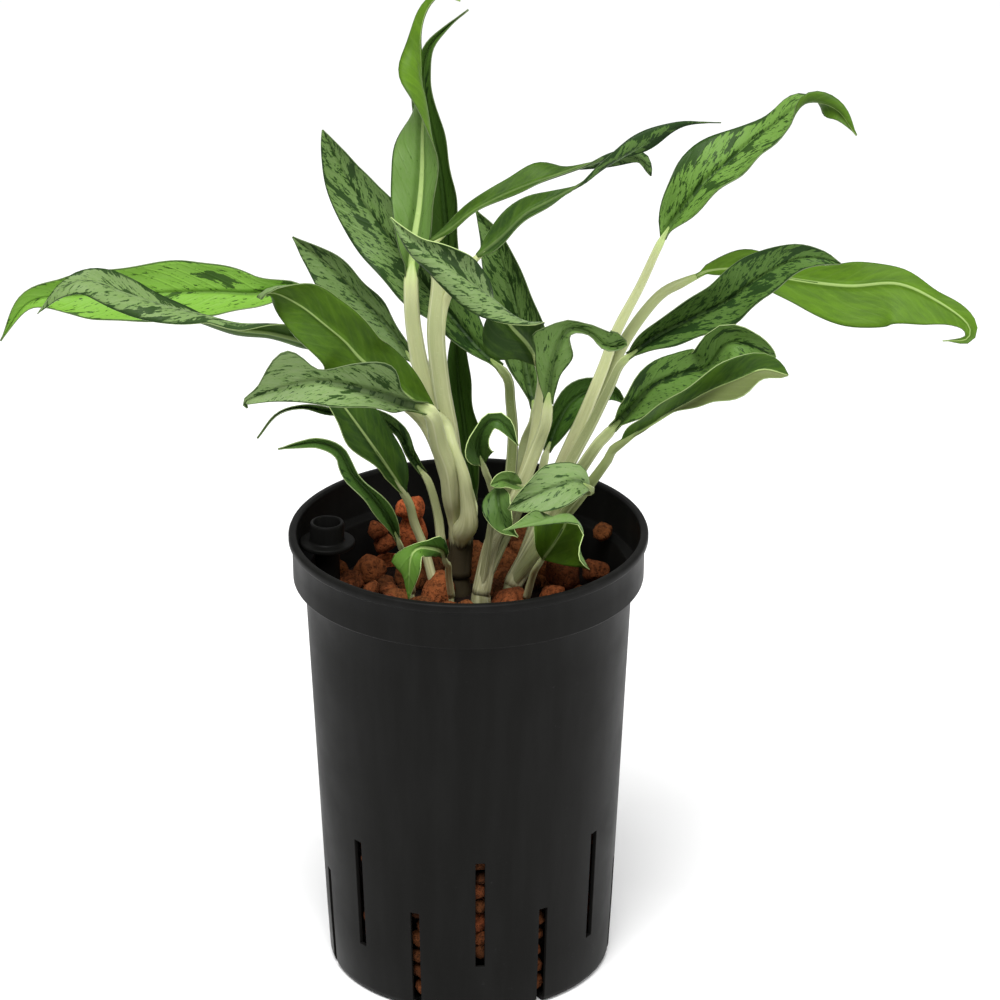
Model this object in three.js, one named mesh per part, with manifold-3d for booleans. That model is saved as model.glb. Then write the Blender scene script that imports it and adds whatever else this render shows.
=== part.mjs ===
// A potted chinese evergreen in expanded clay, with its slotted culture pot.
// Millimetres, +Z up. The origin is the middle of the pot's flat base, and -Y faces the viewer.
import * as THREE from 'three';
import { mergeVertices } from 'three/addons/utils/BufferGeometryUtils.js';
import Module from 'manifold-3d';

const wasm = await Module();
wasm.setup();

// ---- driving dimensions ----
const gap = 0.35; // between pieces that rest on each other

const pot = {
  height: 192,
  rimRadius: 73,
  collarRadius: 71.3,
  collarHeight: 20,
  neckRadius: 66.6, // of the wall, just under the collar
  baseRadius: 58.6,
  wall: 1.7,
  floor: 2.4,
  sides: 56,
};

const slots = {
  count: 14,
  turn: 4.5, // degrees from the front to the first slot
  width: 3.8,
  reach: 12, // of the cut, through the wall
  upper: { bottom: 22.4, top: 71.4 },
  lower: { bottom: -1, top: 45.8 }, // these run out through the foot edge
};

const gauge = {
  x: -57.6,
  y: 8,
  top: 191.6,
  flangeTop: 183.4,
  flangeThick: 2,
  flangeRadius: 11.3,
  tubeRadius: 7,
  tubeBore: 5.5,
  spigotRadius: 5,
  spigotBore: 3.6,
  spigotBottom: 150,
  sides: 24,
};

const clay = {
  top: 157.5, // of the packed body below the loose top pebbles
  pebbles: 62,
  smallest: 6,
  largest: 9.4,
  flat: 0.78, // a pebble's height against its width
  high: { x: -25, y: 50, z: 168, size: 7.2, rise: 1.15 }, // the one that lies on top of the others
  sides: 42, // of the packed body
  seed: 7,
};

const blade = {
  thick: 0.7,
  keel: 1.1, // how far the midrib stands out of the underside, at the stalk
  face: new THREE.Vector3(0, -0.91, 0.41).normalize(), // the side that 0 degrees turns the upper face to
  halfCells: 2, // cells from midrib to margin
  stationLength: 8.5,
};

const stalkTube = {
  sides: 6,
  levelLength: 13,
  sheathLevels: 7,
  turnLength: 5, // over which a stalk turns into the midrib's direction
  slimming: 0.8, // low is slim from low down
};
const usual = [1, 1]; // a half of even width

// Feet of the shoots where they enter the clay: x, y, radius.
const shoots = {
  left: [-4, 13, 6.2],
  centre: [5, -4, 5.6],
  right: [18, 5, 5.6],
  low: [-14, 3, 2],
  narrow: [-23, -2, 1.6],
  front: [-7, -6, 1.6],
  pale: [23.5, -8, 1.7],
};
const foot = { bottom: 148, top: 171, slim: 0.8 }; // slim: top radius against bottom radius

// Each leaf: the midrib from stalk to tip, the half width, how blunt the tip is (low is blunt), and how
// far the right and left halves are turned up towards the face side, in degrees from stalk to tip.
// A half past 90 degrees has rolled over. Where under is true the blade's underside is on the face side.
// rightWide and leftWide say where a half is wider or narrower than usual, from stalk to tip.
// stalk is the way from the shoot's foot to the blade, and girth its radius at the foot and at the blade.
// sheath is the share of the stalk that a loose sheath covers, and the sheath's radius at its torn top.
const leaves = {
  leaf_left_far: {
    shoot: 'left', half: 14, tip: 1, girth: [2.6, 1.3],
    rib: [[-61, 34, 278], [-71, 38, 282], [-87, 42, 278], [-103, 46, 277], [-122, 50, 275],
      [-142, 52, 273], [-163, 54, 272], [-180, 54, 269], [-192, 52, 253]],
    right: [40, 25, 30, 40, 45], left: [50, 45, 35, 35, 60],
    rightWide: [0.5, 0.6, 0.9, 1, 1, 1, 1, 0.9, 0.8],
    leftWide: [0.5, 0.8, 1, 1, 1, 1, 0.9, 0.6, 0.6],
    stalk: [[-4, 18, 188], [-10, 23, 210], [-20, 31, 231], [-36, 35, 250], [-50, 36, 266]],
  },
  leaf_left_twisted: {
    shoot: 'left', half: 12.5, under: true, tip: 0.8, girth: [2.6, 1.4],
    rib: [[-53, 10, 266], [-64, 0, 274], [-78, -5, 280], [-92, -8, 283], [-106, -10, 288],
      [-119, -14, 294], [-135, -16, 301], [-149, -18, 307], [-160, -20, 304], [-169, -20, 294]],
    right: [20, 75, 105, 140, 120], left: [-50, -80, -105, -130, -100],
    stalk: [[-5, 13, 190], [-10, 15, 211], [-18, 18, 230], [-30, 18, 242], [-43, 15, 254]],
  },
  leaf_left_broad: {
    shoot: 'left', half: 14, under: true, tip: 0.7, girth: [4, 2.2],
    rib: [[-13, 14, 237], [-22, 8, 245], [-32, 3, 256], [-42, 0, 266], [-49, -2.5, 275.3],
      [-57, -6, 284], [-66, -9, 293], [-76, -10, 299], [-83, -10, 297.3]],
    right: [20, 5, 20, 30, 20, 125], left: [-55, -25, -20, 20, 5, -125],
    rightWide: [1, 1, 0.95, 0.92, 0.92, 0.95, 1, 1.3, 2.2], leftWide: [1, 1, 1, 1, 1, 1, 1, 1, 1.8],
    stalk: [[-5, 14, 190], [-9, 15, 218]],
  },
  leaf_left_front: {
    shoot: 'left', half: 13.5, tip: 0.8, girth: [3.4, 2.2],
    rib: [[-17, -14, 251], [-26, -22, 257], [-36, -30, 264], [-48, -36, 270], [-59, -40, 273.5],
      [-71, -43, 272.5], [-81, -44, 269.5], [-87, -43, 266], [-86, -42, 263]],
    right: [50, 60, 40, 50, 35], left: [60, 50, 50, 20, 15],
    rightWide: [0.6, 0.55, 0.75, 1.45, 0.85, 0.6, 1.8, 0.65, 0.3],
    leftWide: [0.7, 0.5, 0.7, 0.8, 0.9, 0.9, 0.65, 0.5, 0.5],
    stalk: [[-6, 11, 191], [-10, 5, 217], [-14, -5, 236]],
  },
  leaf_left_back: {
    shoot: 'left', half: 13, tip: 1, girth: [2.6, 1.5],
    rib: [[-23, 44, 248], [-33, 52, 259], [-45, 58, 270], [-57, 62, 282], [-66, 64, 289], [-72, 64, 294]],
    right: [60, 60, 60, 55], left: [0, 10, 15, 10],
    rightWide: [1, 0.75, 0.7, 0.8, 0.9, 1, 1, 1, 1],
    stalk: [[-4, 20, 187], [-10, 29, 214], [-17, 38, 233]],
  },
  leaf_left_thin: {
    shoot: 'left', half: 7, tip: 1.1, girth: [2.4, 1.5],
    rib: [[-18, 12, 211], [-24, 11, 220], [-29, 9, 231], [-40, 6, 240], [-54, 1, 243], [-66, -8, 249],
      [-76, -13, 248], [-84, -14, 238]],
    right: [35, 60, 65, 60], left: [40, 55, 50, 50],
    leftWide: [1, 0.4, 0.2, 0.2, 0.35, 0.4, 0.5, 0.8, 1],
    stalk: [[-8, 12, 175], [-15, 14, 195]],
  },
  leaf_left_low: {
    shoot: 'low', half: 11.5, under: true, tip: 1, girth: [2, 1.7],
    rib: [[-26, 0, 208], [-31, -4, 218], [-37, -9, 230], [-44, -13, 243], [-50, -15, 253],
      [-56, -15, 261], [-61, -14, 266]],
    right: [25, -25, -25, 0], left: [60, 60, 50, 35],
    leftWide: [1, 0.5, 0.55, 0.7, 0.9, 1.1, 1, 1, 1],
    stalk: [[-18, 5, 181], [-22, 4, 193]],
  },
  leaf_left_narrow: {
    shoot: 'narrow', half: 6, tip: 1, girth: [1.5, 1.2],
    rib: [[-28, -26, 199], [-31, -30, 209], [-37, -36, 222], [-45, -41, 234], [-50, -45, 246],
      [-58, -48, 251], [-66, -50, 251], [-74, -50, 249]],
    right: [20, 60, 60, 60], left: [50, 50, 50, 30],
    rightWide: [1, 1, 1, 0.9, 0.6, 0.6, 0.9, 1, 1],
    stalk: [[-24, -12, 180]],
  },
  leaf_young_front: {
    shoot: 'front', half: 5.5, tip: 1.1, girth: [1.5, 1.2],
    rib: [[-10, -30, 194], [-14, -35, 201], [-20, -41, 205], [-23, -45, 200], [-24, -46, 191],
      [-23, -44, 180]],
    right: [20, 40, -30, -45], left: [-50, 5, 30, 35],
    rightWide: [1.2, 1.4, 1.2, 1, 1.3, 1.1, 1, 1, 1], leftWide: [1.2, 1.5, 1.3, 1, 1, 1, 1, 1, 1],
    stalk: [[-8, -14, 178], [-8, -22, 186]],
  },
  leaf_tall: {
    shoot: 'left', half: 12.5, tip: 1.3, girth: [5, 2.9],
    rib: [[-23, 30, 290], [-22, 34, 304], [-20, 40, 317], [-19, 45, 330], [-19, 50, 343],
      [-19, 54, 355], [-20, 57, 368], [-20, 59, 382], [-17, 60, 393], [-11, 60, 399], [-3, 58, 397]],
    right: [10, 50, 65, 110, 200, 185], left: [50, 10, -20, -95, -140, -155],
    rightWide: [1, 1, 1, 1, 1.3, 1.45, 0.65, 0.7, 0.8],
    leftWide: [1, 1, 1, 0.95, 0.9, 0.5, 0.3, 0.4, 0.8],
    stalk: [[-3, 18, 188], [-10, 24, 221], [-18, 27, 246], [-22, 29, 267]],
  },
  leaf_tall_back: {
    shoot: 'left', half: 11, tip: 1.5, girth: [2.6, 1.6],
    rib: [[-9, 60, 272], [-9, 64, 288], [-10, 68, 304], [-12, 72, 322], [-16, 75, 341], [-18, 77, 357],
      [-16, 78, 370], [-9, 78, 379], [0, 77, 387]],
    right: [35, 60, 60, 60, 35], left: [0, 40, 35, 45, 60],
    rightWide: [1, 1, 0.95, 0.9, 0.9, 1, 1, 1, 1],
    stalk: [[-5, 24, 186], [-13, 34, 213], [-15, 46, 239], [-13, 55, 257]],
  },
  leaf_upper_ribbon: {
    shoot: 'left', half: 8.5, under: true, tip: 0.6, girth: [5, 1.6], sheath: [0.86, 3.8],
    rib: [[-15, 28, 306], [-7, 28, 311], [2, 29, 318], [13, 30, 324], [25, 31, 329], [37, 32, 333],
      [49, 33, 337], [61, 33, 340], [69, 32, 340], [73, 30, 333]],
    right: [35, 60, 60, 60, 90, 135, 150], left: [20, 10, 0, -20, -90, -135, -150],
    rightWide: [1, 0.5, 0.3, 0.25, 0.25, 0.3, 0.5, 0.6, 0.8],
    leftWide: [1, 0.85, 0.75, 0.75, 0.95, 0.9, 0.8, 0.6, 0.5],
    stalk: [[-4, 16, 189], [-7, 18, 223], [-11, 20, 247], [-13, 22, 270], [-11, 25, 293]],
  },
  leaf_back_dark: {
    shoot: 'left', half: 9, tip: 0.8, girth: [2.6, 1.6],
    rib: [[2, 36, 188], [0, 39, 204], [-2, 42, 221], [-4, 45, 237], [-5, 47, 252], [-5, 48, 262]],
    right: [45, 50, 55, 25], left: [60, 55, 50, 50],
    stalk: [[-1, 26, 176]],
  },
  leaf_back_mottled: {
    shoot: 'centre', half: 14, tip: 0.8, girth: [3, 1.9],
    rib: [[13, 24, 253], [4, 30, 259], [-5, 38, 267], [-18, 46, 280], [-30, 52, 295], [-39, 56, 306],
      [-48, 60, 318], [-54, 62, 330], [-59, 62, 341]],
    right: [10, 25, 40, 35, 50], left: [50, 45, 25, -5, 10],
    stalk: [[10, 6, 184], [16, 14, 203], [18, 19, 223], [17, 22, 239]],
  },
  leaf_back_right: {
    shoot: 'centre', half: 13.5, tip: 1, girth: [3.4, 2],
    rib: [[27, 34, 231], [25, 40, 238], [23, 45, 247], [21, 51, 258], [18, 57, 271], [14, 61, 282],
      [10, 65, 293], [3, 68, 304]],
    right: [25, 40, 60, 45], left: [55, 45, 35, 15],
    stalk: [[11, 8, 183], [19, 20, 200], [23, 31, 216]],
  },
  leaf_centre_arched: {
    shoot: 'centre', half: 10.5, under: true, tip: 1.1, girth: [3.6, 2],
    rib: [[29, 14, 258], [24, 6, 270], [18, -2, 281], [11, -8, 294], [1, -12, 304], [-10, -15, 314],
      [-20, -16, 321], [-30, -14, 332]],
    right: [30, 25, 145, 190, 190], left: [10, -10, -130, -190, -215],
    rightWide: [1, 0.5, 1.3, 1.1, 1, 1, 1, 1, 1], leftWide: [1, 1.15, 1.6, 0.8, 0.95, 1, 1, 1, 1],
    stalk: [[10, 2, 186], [19, 8, 201], [26, 13, 221], [29, 15, 241]],
  },
  leaf_centre_bright: {
    shoot: 'centre', half: 10, tip: 0.4, girth: [3.8, 2.2],
    rib: [[32, 0, 247], [33, -3, 259], [35, -7, 272], [40, -10, 283], [48, -13, 283], [55, -15, 278],
      [63, -15, 279]],
    right: [20, 30, 55, 60], left: [5, -5, 50, 55],
    rightWide: [1, 1, 1, 1, 0.8, 0.3, 0.25, 0.4, 0.6],
    leftWide: [1, 1, 1, 0.9, 0.7, 0.4, 0.6, 0.9, 1],
    stalk: [[10, 0, 187], [19, 4, 203], [27, 5, 224], [31, 2, 237]],
  },
  leaf_lower_ribbon: {
    shoot: 'left', half: 11, under: true, tip: 1.3, girth: [2.6, 1.4],
    rib: [[4, 8, 307], [13, 10, 314], [23, 13, 323], [33, 15, 328], [45, 17, 334], [54, 18, 341],
      [68, 19, 349], [84, 19, 358.5], [100, 17, 360]],
    right: [45, 50, 60, 95, 140, 140, 130], left: [-5, 20, -10, -85, -130, -130, -120],
    rightWide: [1, 0.85, 0.6, 0.35, 0.4, 0.8, 1, 0.6, 0.4],
    leftWide: [1, 0.95, 0.9, 0.5, 0.3, 0.2, 0.6, 0.5, 0.4],
    stalk: [[-4, 16, 189], [-7, 18, 223], [-10, 20, 247], [-11, 21, 270], [-8, 20, 286]],
  },
  leaf_young_curly: {
    shoot: 'centre', half: 5.5, tip: 1.1, girth: [1.8, 1.3],
    rib: [[6, -8, 224], [4, -12, 233], [5, -16, 241], [8, -19, 247], [12, -21, 249], [16, -21, 245],
      [20, -19, 237]],
    right: [5, 30, 35, 40], left: [50, 55, 40, 45],
    leftWide: [1, 1, 1, 0.8, 0.45, 0.75, 1.1, 1, 1],
    stalk: [[12, 0, 195], [9, -2, 212]],
  },
  leaf_young_small: {
    shoot: 'centre', half: 4.5, tip: 0.7, girth: [1.8, 1.1],
    rib: [[22, -6, 214], [18, -11, 217], [14, -15, 220], [9, -17, 219]],
    right: [0, 10, 40], left: [40, 60, 15],
    stalk: [[14, -2, 185], [22, -1, 203]],
  },
  leaf_young_centre: {
    shoot: 'centre', half: 7, tip: 1.2, girth: [1.8, 1.1],
    rib: [[12, -13, 217], [12, -17, 212], [13, -19, 208], [15, -20, 202], [20, -21, 198]],
    right: [-40, 20, 60], left: [10, 55, 35],
    stalk: [[9, -8, 196], [11, -9, 212]],
  },
  leaf_right_high: {
    shoot: 'right', half: 15.5, tip: 1.2, girth: [4, 1.5],
    rib: [[78, 26, 308], [81, 28, 313], [88, 30, 322], [95, 33, 330], [104, 36, 337], [113, 38, 345],
      [121, 38, 351], [130, 36, 360], [138, 32, 364], [147, 27, 362], [154, 22, 353]],
    right: [60, 60, 62, 64, 62, 58, 52, 55, 140, 150, 160],
    left: [-5, 20, 25, 0, -20, -30, -30, -45, -125, -150, -160],
    rightWide: [0.8, 0.95, 1.1, 1.05, 1, 0.65, 0.65, 0.75, 1],
    leftWide: [1, 1.05, 0.95, 0.85, 0.5, 0.45, 0.8, 1.2, 1],
    stalk: [[29, 8, 188], [37, 13, 212], [46, 17, 233], [54, 20, 253], [60, 22, 270], [69, 24, 288]],
  },
  leaf_right_far: {
    shoot: 'right', half: 15, under: true, tip: 1, belly: 0.9, girth: [4, 1.9],
    rib: [[92, 39, 286.5], [98, 41, 288.2], [112, 43, 288], [131, 45, 283], [154, 45, 280],
      [174, 42, 282], [190, 38, 276], [202, 34, 268], [202, 32, 262], [192, 30, 262]],
    right: [40, 20, 10, 20, 50], left: [40, 20, 5, -20, 40],
    rightWide: [0.8, 0.5, 0.6, 0.92, 1.15, 1.3, 1.15, 0.6, 0.4],
    leftWide: [1.2, 1.1, 0.6, 0.5, 0.66, 0.5, 0.4, 0.6, 0.3],
    stalk: [[30, 9, 187], [37, 15, 211], [47, 20, 229], [56, 25, 248], [65, 30, 265], [77, 36, 279]],
  },
  leaf_right_mottled: {
    shoot: 'right', half: 11.5, tip: 0.9, girth: [3.5, 1.6],
    rib: [[64, 4, 266], [75, 0, 276], [88, -4, 285], [102, -8, 294], [115, -12, 306], [128, -16, 315],
      [138, -19, 317], [146, -20, 315]],
    right: [60, 40, 40, 30], left: [35, 55, 15, 35],
    stalk: [[30, 6, 189], [40, 10, 214], [50, 9, 235], [57, 6, 252]],
  },
  leaf_right_curled: {
    shoot: 'right', half: 11.5, tip: 0.6, girth: [3.2, 2.2],
    rib: [[58, -8, 240], [65, -12, 250], [74, -17, 262], [86, -21, 269], [95, -24, 273],
      [102, -27, 284], [111, -29, 284], [121, -29, 279]],
    right: [60, 25, 25, 55, -40], left: [50, 45, 10, 40, 60],
    rightWide: [0.9, 1, 1, 0.95, 0.9, 1.1, 1.3, 1, 1],
    leftWide: [0.8, 1, 1, 0.9, 0.8, 0.85, 1, 1, 1],
    stalk: [[31, 2, 191], [41, -2, 212], [51, -7, 231]],
  },
  leaf_right_under: {
    shoot: 'right', half: 9, under: true, tip: 0.6, girth: [3, 1.6],
    rib: [[61, -18, 238], [71, -26, 248], [82, -34, 259], [94, -40, 269], [105, -44, 276],
      [115, -46, 281], [125, -47, 279]],
    right: [50, 60, 55, 35], left: [35, 55, 55, 0],
    rightWide: [0.8, 0.4, 0.15, 0.2, 0.45, 0.9, 1.4, 0.9, 0.8],
    leftWide: [1.3, 1.3, 1.1, 1, 1.1, 1.3, 1.4, 1.2, 1],
    stalk: [[31, 0, 189], [41, -7, 204], [50, -12, 219], [56, -16, 230]],
  },
  leaf_right_back: {
    shoot: 'right', half: 9.5, tip: 1.1, girth: [2.4, 1.6],
    rib: [[32, 28, 214], [36, 34, 223], [42, 40, 231], [51, 44, 235], [59, 46, 233], [65, 46, 227]],
    right: [50, 40, 25], left: [45, 55, 60],
    stalk: [[27, 14, 190]],
  },
  leaf_young_silver: {
    shoot: 'right', half: 9.5, tip: 0.9, girth: [2.2, 1.4],
    rib: [[49, -21, 220], [43, -26, 225], [35, -30, 224], [26, -33, 221], [16, -34, 216]],
    right: [-30, -15, 35, 50], left: [35, 35, 25, 40],
    stalk: [[30, -6, 186], [43, -16, 203]],
  },
  leaf_young_pale: {
    shoot: 'pale', half: 12.5, under: true, tip: 1.5, girth: [1.6, 1.2],
    rib: [[30, -28, 192], [35, -31, 201], [39, -36, 211], [37, -42, 217], [27, -48, 217], [14, -52, 215]],
    right: [10, 25, 90, 170, 155], left: [60, 45, -50, -145, -145],
    rightWide: [1.2, 1.4, 1.6, 1.4, 1, 0.5, 0.35, 0.35, 0.5],
    stalk: [[26, -17, 179]],
  },
};

// ---- small tools ----
const colours = {
  pot: new THREE.MeshStandardMaterial({ color: '#26282a', roughness: 0.55, metalness: 0 }),
  clay: new THREE.MeshStandardMaterial({ color: '#8c4a32', roughness: 0.95, metalness: 0 }),
  stalk: new THREE.MeshStandardMaterial({ color: '#c6c69a', roughness: 0.5, metalness: 0 }),
  leaf: new THREE.MeshStandardMaterial({ color: '#6f9062', roughness: 0.45, metalness: 0 }),
};

// A repeatable draw between 0 and 1.
function dice(seed) {
  let state = seed >>> 0;
  return () => {
    state = (Math.imul(state, 1664525) + 1013904223) >>> 0;
    return state / 4294967296;
  };
}

// A closed mesh as a solid, with its faces turned outwards.
function solid(geometry) {
  const bare = geometry.clone();
  bare.deleteAttribute('normal');
  bare.deleteAttribute('uv');
  const merged = mergeVertices(bare, 1e-4);
  const verts = new Float32Array(merged.attributes.position.array);
  const tris = [];
  const index = merged.index.array;
  let volume = 0;
  const [a, b, c] = [new THREE.Vector3(), new THREE.Vector3(), new THREE.Vector3()];
  for (let i = 0; i < index.length; i += 3) {
    const [p, q, r] = [index[i], index[i + 1], index[i + 2]];
    if (p === q || q === r || r === p) continue;
    tris.push(p, q, r);
    a.fromArray(verts, p * 3);
    b.fromArray(verts, q * 3);
    c.fromArray(verts, r * 3);
    volume += a.dot(b.cross(c));
  }
  if (volume < 0) {
    for (let i = 0; i < tris.length; i += 3) [tris[i], tris[i + 1]] = [tris[i + 1], tris[i]];
  }
  return new wasm.Manifold(new wasm.Mesh({
    numProp: 3, vertProperties: verts, triVerts: new Uint32Array(tris),
  }));
}

// The largest single body of a solid. Scraps that a cut leaves are dropped.
function mainBody(body) {
  return body.decompose().sort((a, b) => b.volume() - a.volume())[0];
}

function named(name, body, material) {
  const mesh = body.getMesh();
  const geometry = new THREE.BufferGeometry();
  geometry.setAttribute('position', new THREE.BufferAttribute(new Float32Array(mesh.vertProperties), 3));
  geometry.setIndex(new THREE.BufferAttribute(new Uint32Array(mesh.triVerts), 1));
  geometry.computeVertexNormals();
  const piece = new THREE.Mesh(geometry, material.clone());
  piece.name = name;
  return piece;
}

// A closed profile of [radius, height] turned about Z.
function turned(profile, sides) {
  const outline = profile.map(([radius, height]) => new THREE.Vector2(radius, height));
  outline.push(outline[0].clone());
  const half = Math.PI / sides;
  return solid(new THREE.LatheGeometry(outline, sides).rotateX(Math.PI / 2).rotateZ(half));
}

function upright(x, y, bottom, top, radius, topRadius = radius, sides = 14) {
  const shape = new THREE.CylinderGeometry(topRadius, radius, top - bottom, sides);
  return solid(shape.rotateX(Math.PI / 2).translate(x, y, (top + bottom) / 2));
}

// Closed rings of equal, even length joined into one solid. The two halves of a ring are split into
// triangles the mirror way, so both faces of a thin waved sheet match.
function loft(rings) {
  const count = rings[0].length;
  const half = count / 2;
  const positions = rings.flat().flatMap((point) => point.toArray());
  const index = [];
  const quad = (a, b, c, d, mirror) => {
    if (mirror) index.push(a, b, d, b, c, d);
    else index.push(a, b, c, a, c, d);
  };
  for (let j = 0; j + 1 < rings.length; j += 1) {
    for (let k = 0; k < count; k += 1) {
      const next = (k + 1) % count;
      quad(j * count + k, j * count + next, (j + 1) * count + next, (j + 1) * count + k, k >= half);
    }
  }
  const last = (rings.length - 1) * count;
  for (let k = 0; k + 1 < half; k += 1) {
    quad(k, count - 1 - k, count - 2 - k, k + 1, false);
    quad(last + k, last + k + 1, last + count - 2 - k, last + count - 1 - k, false);
  }
  const geometry = new THREE.BufferGeometry();
  geometry.setAttribute('position', new THREE.Float32BufferAttribute(positions, 3));
  geometry.setIndex(index);
  return solid(geometry);
}

const vector = ([x, y, z]) => new THREE.Vector3(x, y, z);
const curveThrough = (points) => new THREE.CatmullRomCurve3(points, false, 'catmullrom', 0.5);

// A smooth value at s (0 to 1) along an evenly spaced list.
function along(list, s) {
  const curve = curveThrough(list.map((value) => new THREE.Vector3(value, 0, 0)));
  return curve.getPoint(s).x;
}

// ---- pot ----
function potBody() {
  const { height, rimRadius, collarRadius, collarHeight, neckRadius, baseRadius, wall, floor } = pot;
  const neck = height - collarHeight;
  const inside = collarRadius - wall;
  const body = turned([
    [0, 0],
    [baseRadius - 3.4, 0],
    [baseRadius - 1.2, 0.8],
    [baseRadius, 3.4],
    [neckRadius, neck],
    [collarRadius - 0.6, neck],
    [collarRadius, neck + 0.8],
    [collarRadius, height - 4],
    [rimRadius - 0.4, height - 3.4],
    [rimRadius, height - 1.6],
    [rimRadius - 0.7, height],
    [inside + 0.4, height],
    [inside, height - 1],
    [inside, neck + wall + 0.6],
    [neckRadius - wall, neck + wall - 0.6],
    [baseRadius - wall - 0.4, floor + 2],
    [baseRadius - wall - 2, floor],
    [0, floor],
  ], pot.sides);
  const cuts = [];
  for (let k = 0; k < slots.count; k += 1) {
    const { bottom, top } = k % 2 ? slots.lower : slots.upper;
    const angle = THREE.MathUtils.degToRad(slots.turn + (360 / slots.count) * k);
    const cutter = new THREE.BoxGeometry(slots.width, slots.reach, top - bottom);
    cuts.push(solid(cutter.translate(0, -baseRadius, (top + bottom) / 2).rotateZ(angle)));
  }
  return body.subtract(wasm.Manifold.union(cuts));
}

// ---- water gauge socket ----
function gaugeSocket(grow = 0) {
  const { x, y, top, flangeTop, flangeThick, flangeRadius, tubeRadius } = gauge;
  const { spigotRadius, spigotBottom, sides } = gauge;
  const under = flangeTop - flangeThick;
  const outer = wasm.Manifold.union([
    upright(x, y, flangeTop - 1, top, tubeRadius + grow, tubeRadius + grow, sides),
    upright(x, y, under - grow, flangeTop, flangeRadius + grow, flangeRadius + grow, sides),
    upright(x, y, spigotBottom - grow, under + 1, spigotRadius + grow, spigotRadius + grow, sides),
  ]);
  if (grow) return outer;
  return outer
    .subtract(upright(x, y, flangeTop - 0.8, top + 1, gauge.tubeBore, gauge.tubeBore, sides))
    .subtract(upright(x, y, spigotBottom - 1, top, gauge.spigotBore, gauge.spigotBore, sides));
}

// ---- shoots ----
// A tube round the curve from its start to the given share of it. Its end faces the way of last.
function tube(curve, share, steps, last, radiusAt) {
  const rings = [];
  const first = curve.getTangentAt(0);
  let side = new THREE.Vector3(1, 0, 0).cross(first).normalize();
  for (let j = 0; j <= steps; j += 1) {
    const s = (share * j) / steps;
    const centre = curve.getPointAt(s);
    const heading = j === steps ? last : curve.getTangentAt(s);
    side = side.addScaledVector(heading, -side.dot(heading)).normalize();
    const other = heading.clone().cross(side);
    const radius = radiusAt(s);
    const ring = [];
    for (let k = 0; k < stalkTube.sides; k += 1) {
      const turn = (k / stalkTube.sides) * Math.PI * 2;
      ring.push(centre.clone()
        .addScaledVector(side, Math.cos(turn) * radius)
        .addScaledVector(other, Math.sin(turn) * radius));
    }
    rings.push(ring);
  }
  return loft(rings);
}

function stalkBody(leaf, grow) {
  const [x, y] = shoots[leaf.shoot];
  const rib = leaf.rib.map(vector);
  const stalk = leaf.stalk.map(vector);
  const heading = curveThrough(rib).getTangent(0);
  const approach = rib[0].clone().sub(stalk[stalk.length - 1]).normalize().add(heading).normalize();
  const before = rib[0].clone().addScaledVector(approach, -stalkTube.turnLength);
  const end = rib[0].clone().addScaledVector(heading, -gap);
  const curve = curveThrough([new THREE.Vector3(x, y, foot.top - 6), ...stalk, before, end]);
  const steps = Math.max(4, Math.round(curve.getLength() / stalkTube.levelLength));
  const [thick, thin] = leaf.girth;
  const { lerp } = THREE.MathUtils;
  const body = tube(curve, 1, steps, heading, (s) => lerp(thick, thin, s ** stalkTube.slimming) + grow);
  if (!leaf.sheath) return body;
  const [share, radius] = leaf.sheath;
  const top = curve.getTangentAt(share);
  const sleeve = (s) => lerp(thick, radius, s / share) + grow;
  return body.add(tube(curve, share, stalkTube.sheathLevels, top, sleeve));
}

function shootBody(name, grow = 0) {
  const [x, y, radius] = shoots[name];
  const cane = upright(x, y, foot.bottom - grow, foot.top, radius + grow, radius * foot.slim + grow, 10);
  const stalks = Object.values(leaves)
    .filter((leaf) => leaf.shoot === name)
    .map((leaf) => stalkBody(leaf, grow));
  return mainBody(wasm.Manifold.union([cane, ...stalks]));
}

// ---- leaves ----
// Half width along the blade: a rounded start, a belly and a drawn-out tip.
function bladeShape(s, belly, tip) {
  const t = THREE.MathUtils.clamp(s, 0.001, 0.999);
  const peak = belly / (belly + tip);
  return (t ** belly * (1 - t) ** tip) / (peak ** belly * (1 - peak) ** tip);
}

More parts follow.
